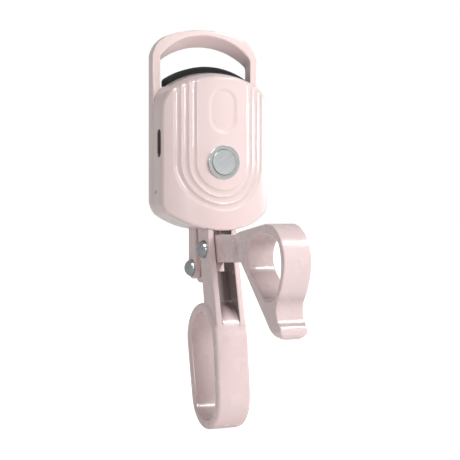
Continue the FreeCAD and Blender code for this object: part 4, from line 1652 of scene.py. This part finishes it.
@dataclass
class Studio:
    """Pale floor, white surround, soft lights and the camera."""

    azimuth: float = -24.0
    distance: float = 0.390
    target: tuple[float, float, float] = (0.0, 0.0094, 0.0505)
    lens: float = 94.6
    shift: Pair = (0.052, -0.054)
    fill: float = 0.455
    fill_right: float = 0.18
    fill_up: float = 0.07
    fill_glossy: float = 0.12
    floor_gap: float = 0.0002
    floor_reach: float = 3000.0
    floor_glow: float = 0.14
    floor_seen: float = 0.76
    lights: tuple[SoftBox, ...] = (
        SoftBox("key", 24.0, 0.30, 0.60, (0.34, 0.34), 2.35, glossy=False),
        SoftBox("right_fill", 62.0, 0.10, 0.50, (0.20, 0.30), 0.25, glossy=False),
        SoftBox("flute_streak", -20.0, 0.075, 0.52, (0.07, 0.05), 0.30, diffuse=False),
        SoftBox("right_streak", 98.0, 0.055, 0.50, (0.05, 0.05), 0.30, diffuse=False),
        SoftBox("crest_strip", -36.0, 0.40, 0.34, (0.18, 0.11), 2.2, diffuse=False),
        SoftBox("arc_spot", 50.0, 0.36, 0.34, (0.10, 0.07), 0.85, diffuse=False),
    )

    def surround(self) -> None:
        """White to the eye, and a softer grey that darkens to the left as a light."""
        world = bpy.data.worlds.new("surround")
        world.use_nodes = True
        bpy.context.scene.world = world
        graph = Graph(world.node_tree)
        parts = graph.node("ShaderNodeSeparateXYZ", None, {
            "Vector": graph.number("ShaderNodeTexCoord", output="Generated")})
        rays = graph.node("ShaderNodeLightPath")
        seen = Value(graph, rays.outputs["Is Camera Ray"])
        glossy = Value(graph, rays.outputs["Is Glossy Ray"])
        right, up = Value(graph, parts.outputs["X"]), Value(graph, parts.outputs["Z"])
        slant = right * (1.0 - glossy) * self.fill_right - up * self.fill_up
        fill = graph.clamped(slant + self.fill) + glossy * self.fill_glossy
        level = graph.number("ShaderNodeMix", {"data_type": "FLOAT"}, {"Factor": seen, "A": fill, "B": 1.0})
        sky = graph.node("ShaderNodeBackground", None, {"Color": (1.0, 1.0, 1.0), "Strength": level})
        graph.node("ShaderNodeOutputWorld", None, {"Surface": Value(graph, sky.outputs[0])})

    def floor(self, level: float) -> None:
        """Pale floor just under the object.

        Args:
            level: its height in metres.
        """
        corners = [(x * self.floor_reach, y * self.floor_reach, level / MM)
                   for x, y in ((-1, -1), (1, -1), (1, 1), (-1, 1))]
        made = mesh_object("floor", np.array(corners), [(0, 1, 2, 3)])
        material, graph = new_graph("floor_paper")
        speck = graph.noise(60.0, 2.0)
        paper = graph.node("ShaderNodeBsdfPrincipled", None, {
            "Base Color": graph.mix(speck, (0.80, 0.80, 0.80), (0.78, 0.78, 0.78)), "Roughness": 0.9})
        seen = graph.number("ShaderNodeLightPath", output="Is Camera Ray")
        lift = graph.node("ShaderNodeEmission", None, {
            "Color": (1.0, 1.0, 1.0), "Strength": seen * self.floor_seen + self.floor_glow})
        both = graph.node("ShaderNodeAddShader", None, {
            0: Value(graph, paper.outputs[0]), 1: Value(graph, lift.outputs[0])})
        finish(graph, both)
        made.data.materials.append(material)
        made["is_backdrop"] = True

    def camera(self) -> None:
        """Camera at its viewing angle, kept level."""
        data = bpy.data.cameras.new("camera")
        data.lens = self.lens
        data.sensor_width = 36.0
        data.shift_x, data.shift_y = self.shift
        data.clip_start, data.clip_end = 0.01, 50.0
        made = bpy.data.objects.new("camera", data)
        bpy.context.scene.collection.objects.link(made)
        turn = math.radians(self.azimuth)
        made.location = (self.target[0] + math.sin(turn) * self.distance,
                         self.target[1] - math.cos(turn) * self.distance, self.target[2])
        made.rotation_euler = (math.pi / 2, 0.0, turn)
        bpy.context.scene.camera = made

    def build(self, low: Array, high: Array) -> None:
        """Sets up the whole studio round the object's box.

        Args:
            low: lowest corner in metres.
            high: highest corner.
        """
        self.surround()
        self.floor(float(low[2]) - self.floor_gap)
        self.camera()
        for light in self.lights:
            light.build((low + high) / 2)
        bpy.context.scene.view_settings.view_transform = "Standard"


def clear_scene() -> None:
    """Removes what a new file holds."""
    for item in list(bpy.data.objects):
        bpy.data.objects.remove(item)


def main() -> None:
    """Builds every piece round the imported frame."""
    logging.basicConfig(level=logging.INFO, format="%(name)s %(message)s")
    clear_scene()
    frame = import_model()
    frame_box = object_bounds()
    low, high = (np.array(corner) for corner in frame_box)
    head, repeater = HeadShape(), Repeater()
    Cover(head).build()
    ArchFrame(head).build()
    PowerButton().build()
    ButtonSpring().build()
    HousingScrews(head).build(repeater)
    Handle().build()
    ThumbLever().build()
    PushRod().build()
    LashPad().build(RibMaker())
    Rivets().build(repeater)
    for name, look in CAD_FINISHES.items():
        made = look.material()
        node = frame["nodes"][name]
        for slot in node.material_slots:
            slot.material = made
        LOG.info("%s: %s", name, look.name)
    Studio().build(low, high)


if __name__ == "__main__":
    main()
